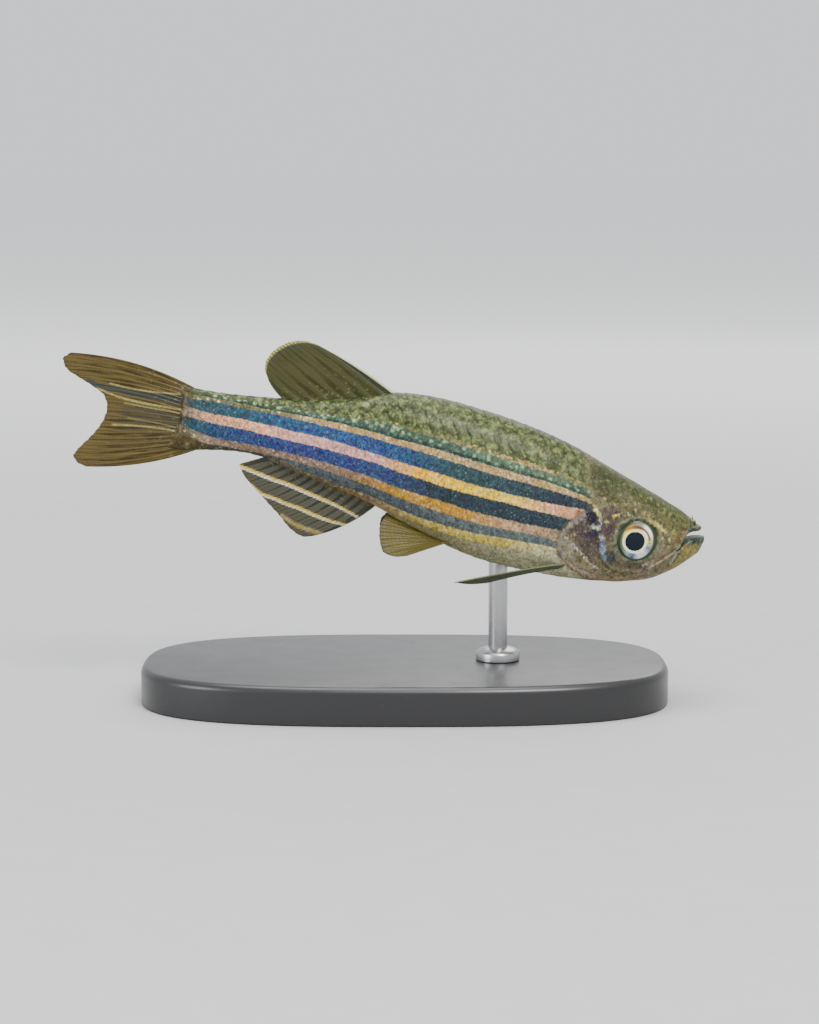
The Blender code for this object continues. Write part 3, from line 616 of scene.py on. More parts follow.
HEAD_STREAKS = (  # (side-view line, half width, colour, strength, silver)
    (((27.85, 0.28), (28.1, 0.05), (28.34, -0.23)), 0.11, (222, 222, 138), 1.0, 0.6),
    (((28.3, -0.25), (28.5, -0.6), (28.55, -0.95)), 0.05, (190, 190, 200), 0.8, 0.5),
    (COVER_SEAM, 0.06, (222, 216, 196), 0.95, 0.5),
    (((27.3, -0.42), (26.6, -1.15), (26.2, -2.0), (26.15, -2.8), (26.5, -3.4)), 0.17,
     (140, 132, 122), 0.75, 0.1),
    (((31.7, 0.14), (32.2, 0.0), (32.85, -0.36)), 0.15, (208, 202, 112), 1.0, 0.4),
    (((35.5, 0.14), (35.0, 0.06), (34.5, -0.06)), 0.2, (58, 70, 62), 0.95, 0.0),
    (((36.0, -0.5), (35.3, -0.6), (34.8, -0.8)), 0.24, (56, 72, 68), 0.95, 0.0),
    (((34.8, -0.78), (34.45, -0.95), (34.25, -1.28), (34.16, -1.7), (34.05, -2.1), (33.93, -2.5)), 0.09,
     (148, 160, 150), 0.9, 0.1),
    # Painted shadow in the fold below the pale lip line
    (((34.32, -1.75), (34.2, -2.1), (34.02, -2.55)), 0.07, (78, 76, 42), 0.8, 0.0),
    # Painted shade along the upper jaw's edge, behind the upper lip
    (((34.4, 0.0), (34.12, -0.6), (33.98, -1.1)), 0.1, (108, 84, 60), 0.8, 0.0),
    (((33.63, -2.16), (33.0, -2.6), (32.34, -3.14)), 0.07, (182, 160, 150), 0.6, 0.0),
    (((35.4, 0.5), (34.8, 0.75), (34.2, 1.05)), 0.05, (190, 200, 185), 0.6, 0.0),
    (((27.2, -4.1), (28.2, -4.45), (29.6, -4.55)), 0.06, (190, 168, 156), 0.7, 0.2),
)


def mark_body(target, points):
    """Keeps on an object of the body all that its finish needs, for its points in the fish's frame."""
    x, z = points[:, 0], points[:, 2]
    back, belly = outline(x)[:2]
    rise = np.clip((z - belly) / (back - belly), 0, 1)
    mark(target, "along", x)
    mark(target, "rise", rise)
    mark(target, "stripe", stripe_at(x, rise))
    head = rise_between(-0.12, 0.1, line_distance(GILL_EDGE, x, z) + 0.06)
    nape = rise_between(27.2, 28.2, x + 0.35 * z)
    upper = rise_between(-0.1, 0.35, z)
    mark(target, "head", head * (1 - upper) + nape * upper)
    colour = np.ones((len(x), 4)) * pigment(116, 112, 86)
    silver = np.zeros(len(x))
    wx = x + 0.05 * np.sin(17 * z + 5 * x) + 0.03 * np.sin(41 * x - 13 * z)
    wz = z + 0.05 * np.sin(19 * x - 7 * z) + 0.03 * np.sin(37 * z + 11 * x)
    shares = []
    for px, pz, length, height, slope, tint, strength, shine in HEAD_PATCHES:
        c, s = math.cos(math.radians(slope)), math.sin(math.radians(slope))
        dx, dz = wx - px, wz - pz
        reach = np.hypot((dx * c + dz * s) / length, (dz * c - dx * s) / height)
        shares.append((strength * (1 - rise_between(0.35, 1.35, reach)), tint, shine))
    for line, width, tint, strength, shine in HEAD_STREAKS:
        reach = np.abs(line_distance(line, wx, wz)) / width
        shares.append((strength * (1 - rise_between(0.4, 1.35, reach)), tint, shine))
    for share, tint, shine in shares:
        colour += (pigment(*tint) - colour) * share[:, None]
        silver += (shine - silver) * share
    round_eye = np.hypot(x - EYE_X, z - EYE_Z)
    above = rise_between(-0.3, 1.2, z - EYE_Z)
    ring = hump(round_eye - 1.36 - 0.07 * above, 0.12 + 0.06 * above)
    rim = hump(round_eye - 1.53 - 0.15 * above, 0.07)
    shade = pigment(92, 102, 84) + (np.array(pigment(50, 58, 48)) - pigment(92, 102, 84)) * above[:, None]
    colour += (shade - colour) * (0.9 * ring)[:, None]
    colour += (pigment(142, 148, 126) - colour) * (0.55 * rim)[:, None]
    mark(target, "head_colour", colour)
    mark(target, "silver", silver * (1 - ring))


BODY_LENGTH = 36.0
PIGMENTS = {  # named as they look on the lit fish
    "clay": (168, 134, 96), "drab": (120, 114, 96), "buff": (160, 156, 120), "pearl": (212, 210, 170),
    "root_olive": (92, 84, 58), "old_gold": (226, 208, 116), "ash": (82, 82, 76), "slate": (98, 104, 110),
    "steel": (110, 118, 120), "tan": (152, 134, 114), "rose_tan": (152, 128, 112), "ochre": (202, 160, 74),
    "apricot": (206, 172, 134), "blue_slate": (58, 80, 94), "indigo": (68, 76, 128),
    "deep_indigo": (70, 80, 120), "night": (64, 72, 82), "salmon": (206, 162, 122), "rose": (230, 180, 168),
    "peach": (246, 190, 146), "gold": (255, 200, 62), "bright_gold": (255, 218, 10),
    "cream_gold": (255, 226, 96), "deep_teal": (68, 86, 92), "peacock": (64, 86, 108),
    "cobalt": (68, 88, 132),
    "dim_gold": (112, 112, 80), "thin_gold": (190, 164, 116), "leaf": (66, 78, 54),
    "sea_green": (84, 102, 90), "pale_green": (104, 124, 102), "dim_leaf": (88, 98, 72), "moss": (84, 94, 63),
}
# Bright dots laid on the stripes: the stripes' own dotted pigment cells, partly painted as glints of light on
# them
BEADS = {
    "white_gold": (244, 232, 190), "blush": (236, 214, 200), "mint": (166, 204, 160), "lime": (140, 150, 88),
    "aqua": (84, 140, 126), "straw": (236, 214, 120),
}
ZONES = (  # each stripe from the belly up: (place along the fish, pigment), silver, bead, its strength
    (((0, "ash"), (9, "clay"), (18, "buff"), (25, "pearl")), 0.3, "lime", 0.15),
    (((0, "drab"), (8, "drab"), (13, "tan"), (18, "old_gold"), (22, "old_gold"), (26, "pearl")),
     0.2, "straw", 0.55),
    (((0, "root_olive"), (4, "ash"), (8, "slate"), (16, "slate"), (22, "steel"), (26, "steel")),
     0.2, "mint", 0.15),
    (((0, "drab"), (1, "tan"), (5, "rose_tan"), (11, "rose_tan"), (15, "ochre"), (19, "ochre"),
      (23, "apricot"), (27, "tan")), 0.3, "white_gold", 0.4),
    (((0, "blue_slate"), (4, "indigo"), (10, "indigo"), (14, "deep_indigo"), (17, "night"), (26, "night")),
     0.3, "aqua", 0.25),
    (((0, "tan"), (1, "salmon"), (4, "peach"), (8, "rose"), (13, "rose"), (16, "gold"), (19, "bright_gold"),
      (22, "cream_gold"), (25, "peach"), (27, "salmon")), 0.35, "blush", 0.45),
    (((0, "deep_teal"), (4, "peacock"), (8, "cobalt"), (14, "cobalt"), (18, "deep_teal"), (26, "night")),
     0.3, "aqua", 0.3),
    (((0, "dim_gold"), (5, "dim_gold"), (9, "thin_gold"), (26, "thin_gold")), 0.3, "white_gold", 0.75),
    (((0, "leaf"), (5, "leaf"), (8, "sea_green"), (18, "sea_green"), (23, "pale_green"), (27, "sea_green")),
     0.2, "mint", 0.65),
    (((0, "leaf"), (11, "dim_leaf"), (16, "dim_gold"), (20, "thin_gold"), (25, "thin_gold"), (28, "moss")),
     0.15, "straw", 0.5),
    (((0, "leaf"), (14, "moss"), (28, "moss")), 0.05, "lime", 0.6),
)


def group_tree(name, inputs, outputs):
    """A shader node group with named sockets, as (group, its entry's sockets, its exit)."""
    made = bpy.data.node_groups.new(name, "ShaderNodeTree")
    kinds = {"value": "NodeSocketFloat", "colour": "NodeSocketColor", "vector": "NodeSocketVector"}
    for way, sockets in (("INPUT", inputs), ("OUTPUT", outputs)):
        for socket, kind in sockets.items():
            made.interface.new_socket(socket, in_out=way, socket_type=kinds[kind])
    return made, made.nodes.new("NodeGroupInput").outputs, made.nodes.new("NodeGroupOutput")


def from_mesh(tree, name, kind="Fac"):
    """A value that mark kept on the object."""
    return put("ShaderNodeAttribute", tree=tree, attribute_name=name).outputs[kind]


def stretched(place, by):
    return put("ShaderNodeVectorMath", {0: place, 1: by}, operation="MULTIPLY").outputs[0]


def parts(colour):
    """The red, green and blue of a colour."""
    return put("ShaderNodeSeparateColor", {0: colour}).outputs


def cells(place, scale):
    """Irregular cells over a surface: the Color is drawn for each, the Distance is from its middle."""
    return put("ShaderNodeTexVoronoi", {"Vector": place, "Scale": scale}).outputs


def bumped(height, strength, depth):
    """The surface's normal where a height, of a depth in millimetres, roughens it."""
    inputs = {"Strength": strength, "Distance": depth * MM, "Height": height}
    return put("ShaderNodeBump", inputs).outputs[0]


# Iridophores: cells in hues near that of their stripe, each a little lighter or darker at random. A few of
# them flash one by one with a painted glint, a near-white highlight screened into their colour.
glitter, entry, leave = group_tree(
    "skin_glitter", {"Place": "vector", "Color": "colour", "Silver": "value"}, {"Color": "colour"}
)
flakes = cells(stretched(entry["Place"], (1.0, 1.0, 0.8)), 9.0)
chance = parts(flakes["Color"])
wide = scaled(parts(cells(entry["Place"], 3.6)["Color"])[0], 0.35, 0.83)
base = parts(entry["Color"])
bluish = step(calc("SUBTRACT", base[2], base[0]), -0.01, 0.03)
hue = put(
    "ShaderNodeHueSaturation",
    {
        "Hue": scaled(calc("SUBTRACT", chance[0], 0.5), scaled(bluish, 0.08, 0.025), 0.492),
        "Saturation": scaled(chance[1], 0.4, 0.8),
        "Value": scaled(chance[2], 0.7, 0.62),
        "Color": entry["Color"],
    },
).outputs[0]
patches = put("ShaderNodeCombineColor", {0: wide, 1: wide, 2: wide}).outputs[0]
hue = blend(1.0, hue, patches, "MULTIPLY")
near = step(flakes["Distance"], 0.5, 0.2)
# Where the painted glints fall: the middles of a few cells, stronger where the skin is silver
painted_glint_share = times(step(chance[1], 0.86, 0.97), near, scaled(entry["Silver"], 0.7, 0.06))
painted_glint_colour = blend(0.55, hue, paint(235, 238, 228), "SCREEN")
join(leave, {"Color": blend(painted_glint_share, hue, painted_glint_colour)})

# The stripes of one flank, the green netting of the back, and a painted shade along the back's ridge
stripes, entry, leave = group_tree(
    "danio_stripes", {"Place": "vector", "Along": "value", "Rise": "value", "Stripe": "value"},
    {"Color": "colour", "Silver": "value"},
)
place = entry["Place"]
ragged = noise(place, 5.0, 3)
mottle = noise(place, 2.3, 4)
level = calc("ADD", entry["Stripe"], scaled(ragged, 0.26, -0.13))
length = calc("DIVIDE", entry["Along"], BODY_LENGTH)
spots = cells(place, 4.3)
luck = parts(spots["Color"])
# The beads: dots of the stripes' own cells, partly painted glints
bead = times(step(luck[0], 0.4, 0.75), step(spots["Distance"], 0.55, 0.2))
drop = step(cells(place, 2.5)["Distance"], 0.5, 0.22)
shade, shine = None, None
for i, (stops, silver, tint, strength) in enumerate(ZONES):
    zone = ramp(length, [(x / BODY_LENGTH, PIGMENTS[name]) for x, name in stops])
    zone = blend(times(drop if tint == "mint" else bead, strength), zone, BEADS[tint])
    if shade is None:
        shade, shine = zone, silver
        continue
    share = step(level, i - 0.07, i + 0.07)
    shade = blend(share, shade, zone)
    shine = put("ShaderNodeMix", {0: share, 2: shine, 3: silver}).outputs[0]
shade = layered(
    shade,
    (times(step(level, 7.95, 8.05), step(level, 8.45, 8.2), 0.7), (44, 62, 66)),
    (times(step(luck[1], 0.5, 0.8), 0.2), (60, 62, 52)),
    (times(step(level, 8.95, 9.05), step(mottle, 0.5, 0.56)), (112, 120, 82)),
)
mottled = layered(
    shade, (step(mottle, 0.56, 0.72), (128, 138, 88)), (step(mottle, 0.46, 0.34), (52, 58, 40))
)
shade = layered(
    shade,
    (times(step(level, 9.9, 10.3), 0.65), mottled),
    (times(step(scaled(ragged, 1.2, entry["Along"]), 0.9, -0.2), 0.8), (84, 74, 52)),
    # Painted shade along the top of the back, darkening its last few hundredths of depth
    (times(step(entry["Rise"], 0.972, 0.998), 0.75), (60, 62, 46)),
)
join(leave, {"Color": shade, "Silver": shine})


def body_finish(name, scaly):
    """The finish of the skin, or of the scales, through which the same markings show."""
    made, tree, shader = new_material(name)
    place = in_millimetres(tree)
    inputs = {socket: from_mesh(tree, socket.lower()) for socket in ("Along", "Rise", "Stripe")}
    pattern = put("ShaderNodeGroup", {"Place": place, **inputs}, node_tree=stripes).outputs
    head = from_mesh(tree, "head")
    fleck = noise(place, 3.4, 4)
    tint = layered(
        from_mesh(tree, "head_colour", "Color"),
        (times(step(fleck, 0.56, 0.68), 0.34), (158, 158, 114)),
        (times(step(fleck, 0.47, 0.34), 0.5), (54, 54, 44)),
    )
    colour = blend(head, pattern["Color"], tint)
    silver = put("ShaderNodeMix", {0: head, 2: pattern["Silver"], 3: from_mesh(tree, "silver")}).outputs[0]
    if scaly:
        edge = calc("MULTIPLY", from_mesh(tree, "edge"), scaled(silver, -1.8, 0.68), clamp=True)
        edge = times(edge, calc("SUBTRACT", 1.0, head))
        colour = blend(edge, colour, blend(1.0, colour, paint(120, 124, 100), "MULTIPLY"))
    inputs = {"Place": place, "Color": colour, "Silver": silver}
    grain = noise(place, 7.0, 3)
    join(shader, {
        "Coat Weight": 0.05, "Coat Roughness": 0.2, "Specular IOR Level": 0.16,
        "Base Color": put("ShaderNodeGroup", inputs, node_tree=glitter).outputs["Color"],
        "Metallic": times(silver, 0.8),
        "Roughness": scaled(grain, 0.2, 0.36),
        "Normal": bumped(grain, 0.25, 0.04),
    })
    return made


points = corners(skin)
mark_body(skin, points)
move_corners(skin, placed(points))
skin.data.materials.clear()
dress(skin, body_finish("danio_skin", False), 50)
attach(skin, "root")
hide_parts("head", "lower_jaw", "gill_cover_right", "gill_cover_left", "torso", "tail")


# The scales. Thin clear cycloid scales overlap from the gill covers and the nape to the tail fin's root, in
# rows along the body, each rooted in the skin at its front with its rounded rear edge lying free over the
# next. The pigment under them shows through, so they carry the same markings.
SCALE_PITCH, SCALE_LENGTH, SCALE_WIDTH = 0.98, 1.75, 1.06  # the width is a share of two rows
SCALE_THICKNESS, SCALE_TURNS, SCALE_RINGS = 0.028, 22, (0.3, 0.55, 0.76, 0.9, 0.98, 1.0)
FIRST_SCALE, LAST_SCALE = 28.9, 0.1  # along the fish
TABLE_STEP, TABLE_RISE = 0.1, 0.04  # along the fish, and round its body
angles = np.linspace(-0.7, math.pi + 0.7, 320)
table_x = np.arange(-1.5, 31.0, TABLE_STEP)
table_u = np.arange(-9.0, 9.0, TABLE_RISE)
section_points = form_at(table_x[:, None], angles[None, :])
lengths = np.linalg.norm(np.diff(section_points, axis=1), axis=-1)
girth = np.concatenate([np.zeros((len(table_x), 1)), np.cumsum(lengths, axis=1)], axis=1)
middle = np.searchsorted(angles, math.pi / 2)
girth -= girth[:, middle : middle + 1]
angle_table = np.stack([np.interp(table_u, row, angles) for row in girth])
back_reach, belly_reach = (np.array([np.interp(a, angles, row) for row in girth]) for a in (0, math.pi))


def angle_for(x, u):
    """The angle on the form that lies u millimetres below the flank's widest line, at x."""
    i = np.clip((x - table_x[0]) / TABLE_STEP, 0, len(table_x) - 1.001)
    j = np.clip((u - table_u[0]) / TABLE_RISE, 0, len(table_u) - 1.001)
    i0, j0 = i.astype(int), j.astype(int)
    fi, fj = i - i0, j - j0
    near = angle_table[i0, j0] * (1 - fj) + angle_table[i0, j0 + 1] * fj
    far = angle_table[i0 + 1, j0] * (1 - fj) + angle_table[i0 + 1, j0 + 1] * fj
    return near * (1 - fi) + far * fi


def row_height(x):
    """The width of one row of scales at x."""
    return 0.5 + 0.36 * rise_between(0, 15, x)


def scale_places():
    """(x, u, angle) of each scale's middle on one side, row by row from the gill cover back."""
    places = []
    for row in range(-12, 13):
        for x in np.arange(FIRST_SCALE - 0.5 * (row % 2) * SCALE_PITCH, LAST_SCALE, -SCALE_PITCH):
            u = row * row_height(x)
            if not np.interp(x, table_x, back_reach) - 0.1 < u < np.interp(x, table_x, belly_reach) + 0.1:
                continue
            angle = angle_for(x, u)
            z = form_at(x, angle)[2]
            covered = line_distance(GILL_EDGE, x + 0.3, z) > -0.1 if z < 0.9 else x + 0.35 * z > 29.2
            if not covered:
                places.append((x, u, angle))
    return np.array(places)


# The points of one scale as shares of its half length and width: its top, the same rim below, and a middle
local = np.concatenate([[(0.0, 0.0)]] + [ring * circle(SCALE_TURNS) for ring in SCALE_RINGS])
tops = len(local)
xi, eta = np.concatenate([local, local[-SCALE_TURNS:], [(0.0, 0.0)]]).T
per = len(xi)
scale_faces = fan(SCALE_TURNS, 0, 1) + ring_faces(len(SCALE_RINGS) + 1, SCALE_TURNS, 1)
scale_faces += [face[::-1] for face in fan(SCALE_TURNS, per - 1, tops)]
reach = np.hypot(xi, eta)
slope = -0.03 + 0.07 * (xi + 1) / 2 - 0.012 * rise_between(0.9, 1.0, reach)
slope[tops:] -= SCALE_THICKNESS
scales_finish = body_finish("danio_scales", True)
draw = np.random.default_rng(11)

for side, word in ((1, "right"), (-1, "left")):
    x0, u0, a0 = scale_places().T
    total = len(x0)
    wobble = 1 + draw.normal(0, 0.02, (total, 1))
    x = np.clip(x0[:, None] - xi[None, :] * SCALE_LENGTH / 2 * wobble, -1.45, 30.8)
    u = u0[:, None] + eta[None, :] * SCALE_WIDTH * row_height(x0)[:, None] * wobble
    a = angle_for(x, u)
    base = form_at(x, a, SCALE_DEPTH)
    ahead = form_at(x + 0.02, a, SCALE_DEPTH) - form_at(x - 0.02, a, SCALE_DEPTH)
    round_it = form_at(x, a + 0.02, SCALE_DEPTH) - form_at(x, a - 0.02, SCALE_DEPTH)
    normal = np.cross(round_it, ahead)
    normal /= np.linalg.norm(normal, axis=-1, keepdims=True) + 1e-12
    from_core = base[:, 0] - np.stack([x[:, 0], 0 * x[:, 0], outline(x[:, 0])[2]], -1)
    normal *= np.sign((normal[:, 0] * from_core).sum(-1))[:, None, None]
    lift = slope + draw.normal(0, 0.0016, (total, 1)) + draw.normal(0, 0.003, (total, 1)) * eta[None, :]
    points = base + normal * np.minimum(lift, SCALE_DEPTH - 0.003)[..., None]
    points[..., 1] *= side
    faces = [face[::side] for face in scale_faces]
    shifted = [[v + first for v in face] for first in range(0, total * per, per) for face in faces]
    flat = points.reshape(-1, 3)
    coat = raw_mesh(f"scales_{word}", placed(flat), shifted)
    mark_body(coat, flat)
    edge = np.tile(rise_between(0.72, 0.97, reach) * rise_between(-0.2, 0.3, xi), total)
    mark(coat, "edge", edge * rise_between(0.2, 1.2, flat[:, 0]))
    unwrap = coat.data.uv_layers.new(name="OFBake")
    corner_of = np.zeros(len(coat.data.loops), int)
    coat.data.loops.foreach_get("vertex_index", corner_of)
    root_uv = np.stack([(x0 + 2) / 40, 0.5 - side * a0 / (2 * math.pi)], -1)
    uv = root_uv[:, None, :] + np.stack([-xi, eta], -1)[None] * 0.0015
    unwrap.data.foreach_set("uv", uv.reshape(-1, 2)[corner_of].ravel())
    dress(coat, scales_finish, 60)
    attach(coat, "root")


# The eyes. A silvery iris with a flush of gold lies close behind the clear front of each eye, round a large
# dark pupil, and the lens bulges a little through it. The eye turns in its socket and has no lids.
PUPIL_X, PUPIL_Z, PUPIL_RADIUS = 31.05, -1.41, 0.66
iris_finish, tree, shader = new_material("silver_gold_iris")
reach, turn, core = (from_mesh(tree, name) for name in ("reach", "turn", "core"))
inner = ramp(
    turn,
    [
        (0.0, (1.0, 1.0, 0.6, 1)), (0.3, (0.95, 1.0, 0.85, 1)), (0.55, (1.0, 0.97, 0.34, 1)),
        (0.75, (1.0, 0.95, 0.3, 1)), (1.0, (1.0, 1.0, 0.6, 1)),
    ],
)
outer = ramp(
    turn,
    [
        (0.0, (206, 212, 190)), (0.05, (120, 142, 152)), (0.12, (236, 240, 240)), (0.19, (250, 252, 252)),
        (0.26, (100, 116, 140)), (0.33, (176, 196, 204)), (0.41, (124, 134, 116)), (0.48, (112, 118, 94)),
        (0.56, (236, 222, 110)), (0.62, (206, 176, 96)), (0.68, (140, 132, 104)), (0.76, (158, 160, 140)),
        # From 0.82 to 0.91, at the iris's upper front, a painted highlight in near white
        (0.82, (0.9, 0.9, 0.8, 1)), (0.91, (1.0, 1.0, 0.92, 1)), (0.96, (236, 214, 130)),
        (1.0, (206, 212, 190)),
    ],
)
ray = noise(in_millimetres(tree), 9.0, 3)
brown = blend(step(turn, 0.62, 0.72), (204, 112, 40), (116, 72, 48))
arc = times(step(core, 1.36, 1.43), step(core, 1.66, 1.58), step(turn, 0.54, 0.6), step(turn, 1.0, 0.94))
spotted = times(step(turn, 0.1, 0.2), step(turn, 0.45, 0.35), step(core, 1.25, 1.4))
colour = layered(
    blend(step(core, 1.22, 1.34), inner, outer),
    (times(arc, 0.9), brown),
    (step(reach, 0.93, 0.98), (98, 108, 88)),
    (step(reach, 1.0, 1.05), (62, 72, 58)),
    (times(step(ray, 0.5, 0.65), scaled(spotted, 0.6, 0.15)), (70, 78, 82)),
)
join(shader, {
    "Roughness": 0.3, "Specular IOR Level": 0.2, "Coat Weight": 0.08, "Coat Roughness": 0.08,
    "Base Color": colour, "Metallic": times(step(reach, 1.08, 0.95), 0.2),
})
pupil_finish, tree, shader = new_material("black_pupil")
depth = blend(noise(in_millimetres(tree), 1.2, 1), paint(3, 10, 20), paint(6, 22, 40))
join(shader, {"Roughness": 0.16, "Specular IOR Level": 0.22, "Base Color": depth})


def dish(name, rows, around, side, made_of):
    """A closed round dish over a cheek, from rings of (radius, side-view centre, stretch, height)."""
    points = []
    for radius, cx, cz, stretch, height in rows:
        for c, s in circle(around):
            x, z = cx + radius * c, cz + radius * stretch * s
            points.append((x, side_at(x, z) + height, z))
    points = np.array(points)
    made = solid(name, placed(points * (1, side, 1)), closed_faces(len(rows), around))
    dress(made, made_of)
    return made, points[:, 0], points[:, 2]


def dome(radius, widest):
    """How high a ball of the widest radius stands at this radius, as a share."""
    return math.sqrt(max(1 - (radius / widest) ** 2, 0))


iris_rings = [(1.0, EYE_X, EYE_Z, 1.0, -0.45), (1.36, EYE_X, EYE_Z, 1.05, -0.3)]
for radius in (1.38, 1.36, 1.32, 1.25, 1.17, 1.08, 0.98, 0.88, 0.78, 0.7, 0.63, 0.55, 0.3, 0.08):
    share = rise_between(1.3, 0.66, radius)
    cx = EYE_X + (PUPIL_X - EYE_X) * share
    cz = EYE_Z + (PUPIL_Z - EYE_Z) * share
    height = -0.10 + 0.30 * dome(radius, 1.38) - 0.07 * rise_between(0.95, 0.66, radius)
    iris_rings.append((radius, cx, cz, 1.0 + 0.05 * (1 - share), height))
pupil_rings = [(0.55, PUPIL_X, PUPIL_Z, 1.0, 0.0), (0.655, PUPIL_X, PUPIL_Z, 1.0, 0.08)]
for radius in (0.665, 0.65, 0.6, 0.52, 0.42, 0.3, 0.18, 0.06):
    pupil_rings.append((radius, PUPIL_X, PUPIL_Z, 1.0, 0.16 + 0.11 * dome(radius, 0.665)))

for side, word in ((-1, "right"), (1, "left")):
    eye, x, z = dish(f"iris_{word}", iris_rings, 72, side, iris_finish)
    dx, dz = x - EYE_X, (z - EYE_Z) / 1.17
    mark(eye, "reach", np.hypot(dx, dz) / 1.12)
    mark(eye, "core", np.hypot(x - PUPIL_X, z - PUPIL_Z) / PUPIL_RADIUS)
    mark(eye, "turn", (np.arctan2(-dz, dx) / (2 * math.pi)) % 1.0)
    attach(eye, "root")
    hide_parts(f"eye_{word}")
    pupil = dish(f"pupil_{word}", pupil_rings, 64, side, pupil_finish)[0]
    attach(pupil, "root")


# The fins. Each is a clear membrane held out by soft rays, which are jointed rods of bone that fork towards
# the margin and grow out of the flesh. Thin pigment clouds the membrane and draws the anal fin's bands.
PALE_MARKS, DARK_MARKS = ((204, 178, 92), (246, 244, 226)), ((46, 54, 62), (84, 88, 86))


def fin_finish(name, tints, clear, gilt=PALE_MARKS, dusk=DARK_MARKS):
    """A finish from two tints of web and two of ray, how clear the web is, and the marks' tints."""
    made, tree, shader = new_material(name)
    place = in_millimetres(tree)
    kinds = ("ray", "out", "reach", "fan", "pale", "dark", "tone")
    ray, out, reach, spread, pale, dark, tone = (from_mesh(tree, kind) for kind in kinds)
    lengthwise = put("ShaderNodeCombineXYZ", {0: times(spread, 2.6), 1: times(reach, 0.5)}).outputs[0]
    web = blend(step(noise(lengthwise, 1.0, 3), 0.36, 0.64), tints[0], tints[1])
    outward = put("ShaderNodeCombineXYZ", {0: reach}).outputs[0]
    joint = step(put("ShaderNodeTexWave", {"Vector": outward, "Scale": 1.15}).outputs[0], 0.75, 0.98)
    rod = blend(times(joint, 0.4), tints[2], tints[3])
    smoke = blend(step(ray, 0.3, 0.8), *dusk)
    chance = parts(cells(place, 6.5)["Color"])
    gold = blend(scaled(chance[0], 0.5, calc("SUBTRACT", tone, 0.25), clamp=True), *gilt)
    specks = times(step(chance[1], 0.9, 0.96), step(out, 0.7, 0.0), 0.3)
    colour = layered(
        web, (times(step(ray, 0.25, 0.8), 0.7), rod), (dark, smoke), (pale, gold), (specks, (150, 146, 100))
    )
    mass = calc("MAXIMUM", times(ray, 0.9), calc("MAXIMUM", pale, dark))
    film = scaled(noise(place, 2.2, 4), 0.2, scaled(out, -0.12, 1 - clear))
    join(shader, {
        "Roughness": 0.42, "Specular IOR Level": 0.15, "Coat Weight": 0.05, "Coat Roughness": 0.2,
        "Base Color": colour,
        "Alpha": scaled(mass, clear * 0.9, film, clamp=True),
        "Normal": bumped(joint, 0.3, 0.03),
    })
    return made


def branch_profile(q, t, rays, split, width):
    """Where rays stand out: q counts rays from the first, and each forks twice on its way to the margin."""
    nearest = np.clip(np.round(q), 0, rays - 1)
    whole = (nearest == 0) | (nearest == rays - 1)
    first = np.where(whole, 0.0, 0.25 * rise_between(split, 1.1, t))
    second = np.where(whole, 0.0, 0.12 * rise_between(split + 0.25, 1.2, t))
    ridge = 0 * q
    slim = width * (1 - 0.45 * np.clip(t, 0, 1))
    for m in (-1, 1):
        for n in (-1, 1):
            ridge = np.maximum(ridge, hump(q - nearest - m * first - n * second, slim))
    return ridge


def build_fin(name, surface, rays, marks, made_of, per_ray=14, rows=72, flesh=0.12, split=0.4):
    """A fin as one thin closed sheet with raised rays. surface(s, t) gives points for arrays of s and t."""
    film, rod = 0.03, 0.05  # half of the web's thickness, and how far a ray stands out of it
    s_line = np.linspace(0, 1, (rays - 1) * per_ray + 1)
    ends = surface(np.stack([s_line, s_line]), np.stack([0 * s_line, 0 * s_line + 1]))
    lengths = np.linalg.norm(ends[1] - ends[0], axis=-1)
    q = s_line * (rays - 1)
    scallop = 0.006 * np.sin(math.pi * q) ** 2 + 0.005 * np.abs(np.sin(7.3 * q + 0.5))
    start = -0.3 / lengths
    share = np.linspace(0, 1, rows)[:, None]
    t = start + (1 - scallop - start) * share
    s = np.broadcast_to(s_line, t.shape)
    mid = surface(s, t)
    spread = mid.reshape(-1, 3)
    plane = np.linalg.svd(spread - spread.mean(0), full_matrices=False)[2][2]
    normal = np.cross(np.gradient(mid, axis=0), np.gradient(mid, axis=1))
    normal /= np.linalg.norm(normal, axis=-1, keepdims=True) + 1e-12
    normal *= np.sign((normal * plane).sum(-1, keepdims=True))
    normal = normal * 0.5 + plane * 0.5
    ridge = branch_profile(np.broadcast_to(q, t.shape), t, rays, split, 0.2)
    along_ray = t * lengths
    jointed = 1 - 0.16 * hump((along_ray / 0.27) % 1.0 - 0.5, 0.12)
    half = film + flesh * np.exp(-np.maximum(along_ray, 0) / 0.55)
    half += rod * (1 - 0.65 * np.clip(t, 0, 1)) * ridge * jointed
    half *= np.minimum(1, (1 - share) / 0.03 * 0.6 + 0.4)
    half *= np.minimum(1, np.minimum(q, rays - 1 - q) / 0.25 * 0.6 + 0.4)
    over, under = mid + normal * half[..., None], mid - normal * half[..., None]
    number = np.arange(t.size).reshape(t.shape)
    a, b, c, d = number[:-1, :-1], number[:-1, 1:], number[1:, 1:], number[1:, :-1]
    top = np.stack([a, b, c, d], -1).reshape(-1, 4)
    low = (np.stack([d, c, b, a], -1) + t.size).reshape(-1, 4)
    loop = np.concatenate([number[0], number[1:, -1], number[-1, -2::-1], number[-2:0:-1, 0]])
    after = np.roll(loop, -1)
    wall = np.stack([loop, loop + t.size, after + t.size, after], -1)
    points = np.concatenate([over.reshape(-1, 3), under.reshape(-1, 3)])
    made = solid(name, placed(points), np.concatenate([top, low, wall]).tolist())
    values = {"ray": ridge, "out": np.clip(t, 0, 1), "reach": along_ray, "fan": q + 0 * t}
    values["pale"], values["dark"], values["tone"] = marks(mid, s, t)
    for key, grid_values in values.items():
        mark(made, key, np.tile(np.broadcast_to(grid_values, t.shape).ravel(), 2))
    dress(made, made_of)
    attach(made, "root")
    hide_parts(name.replace("_sheet", ""))


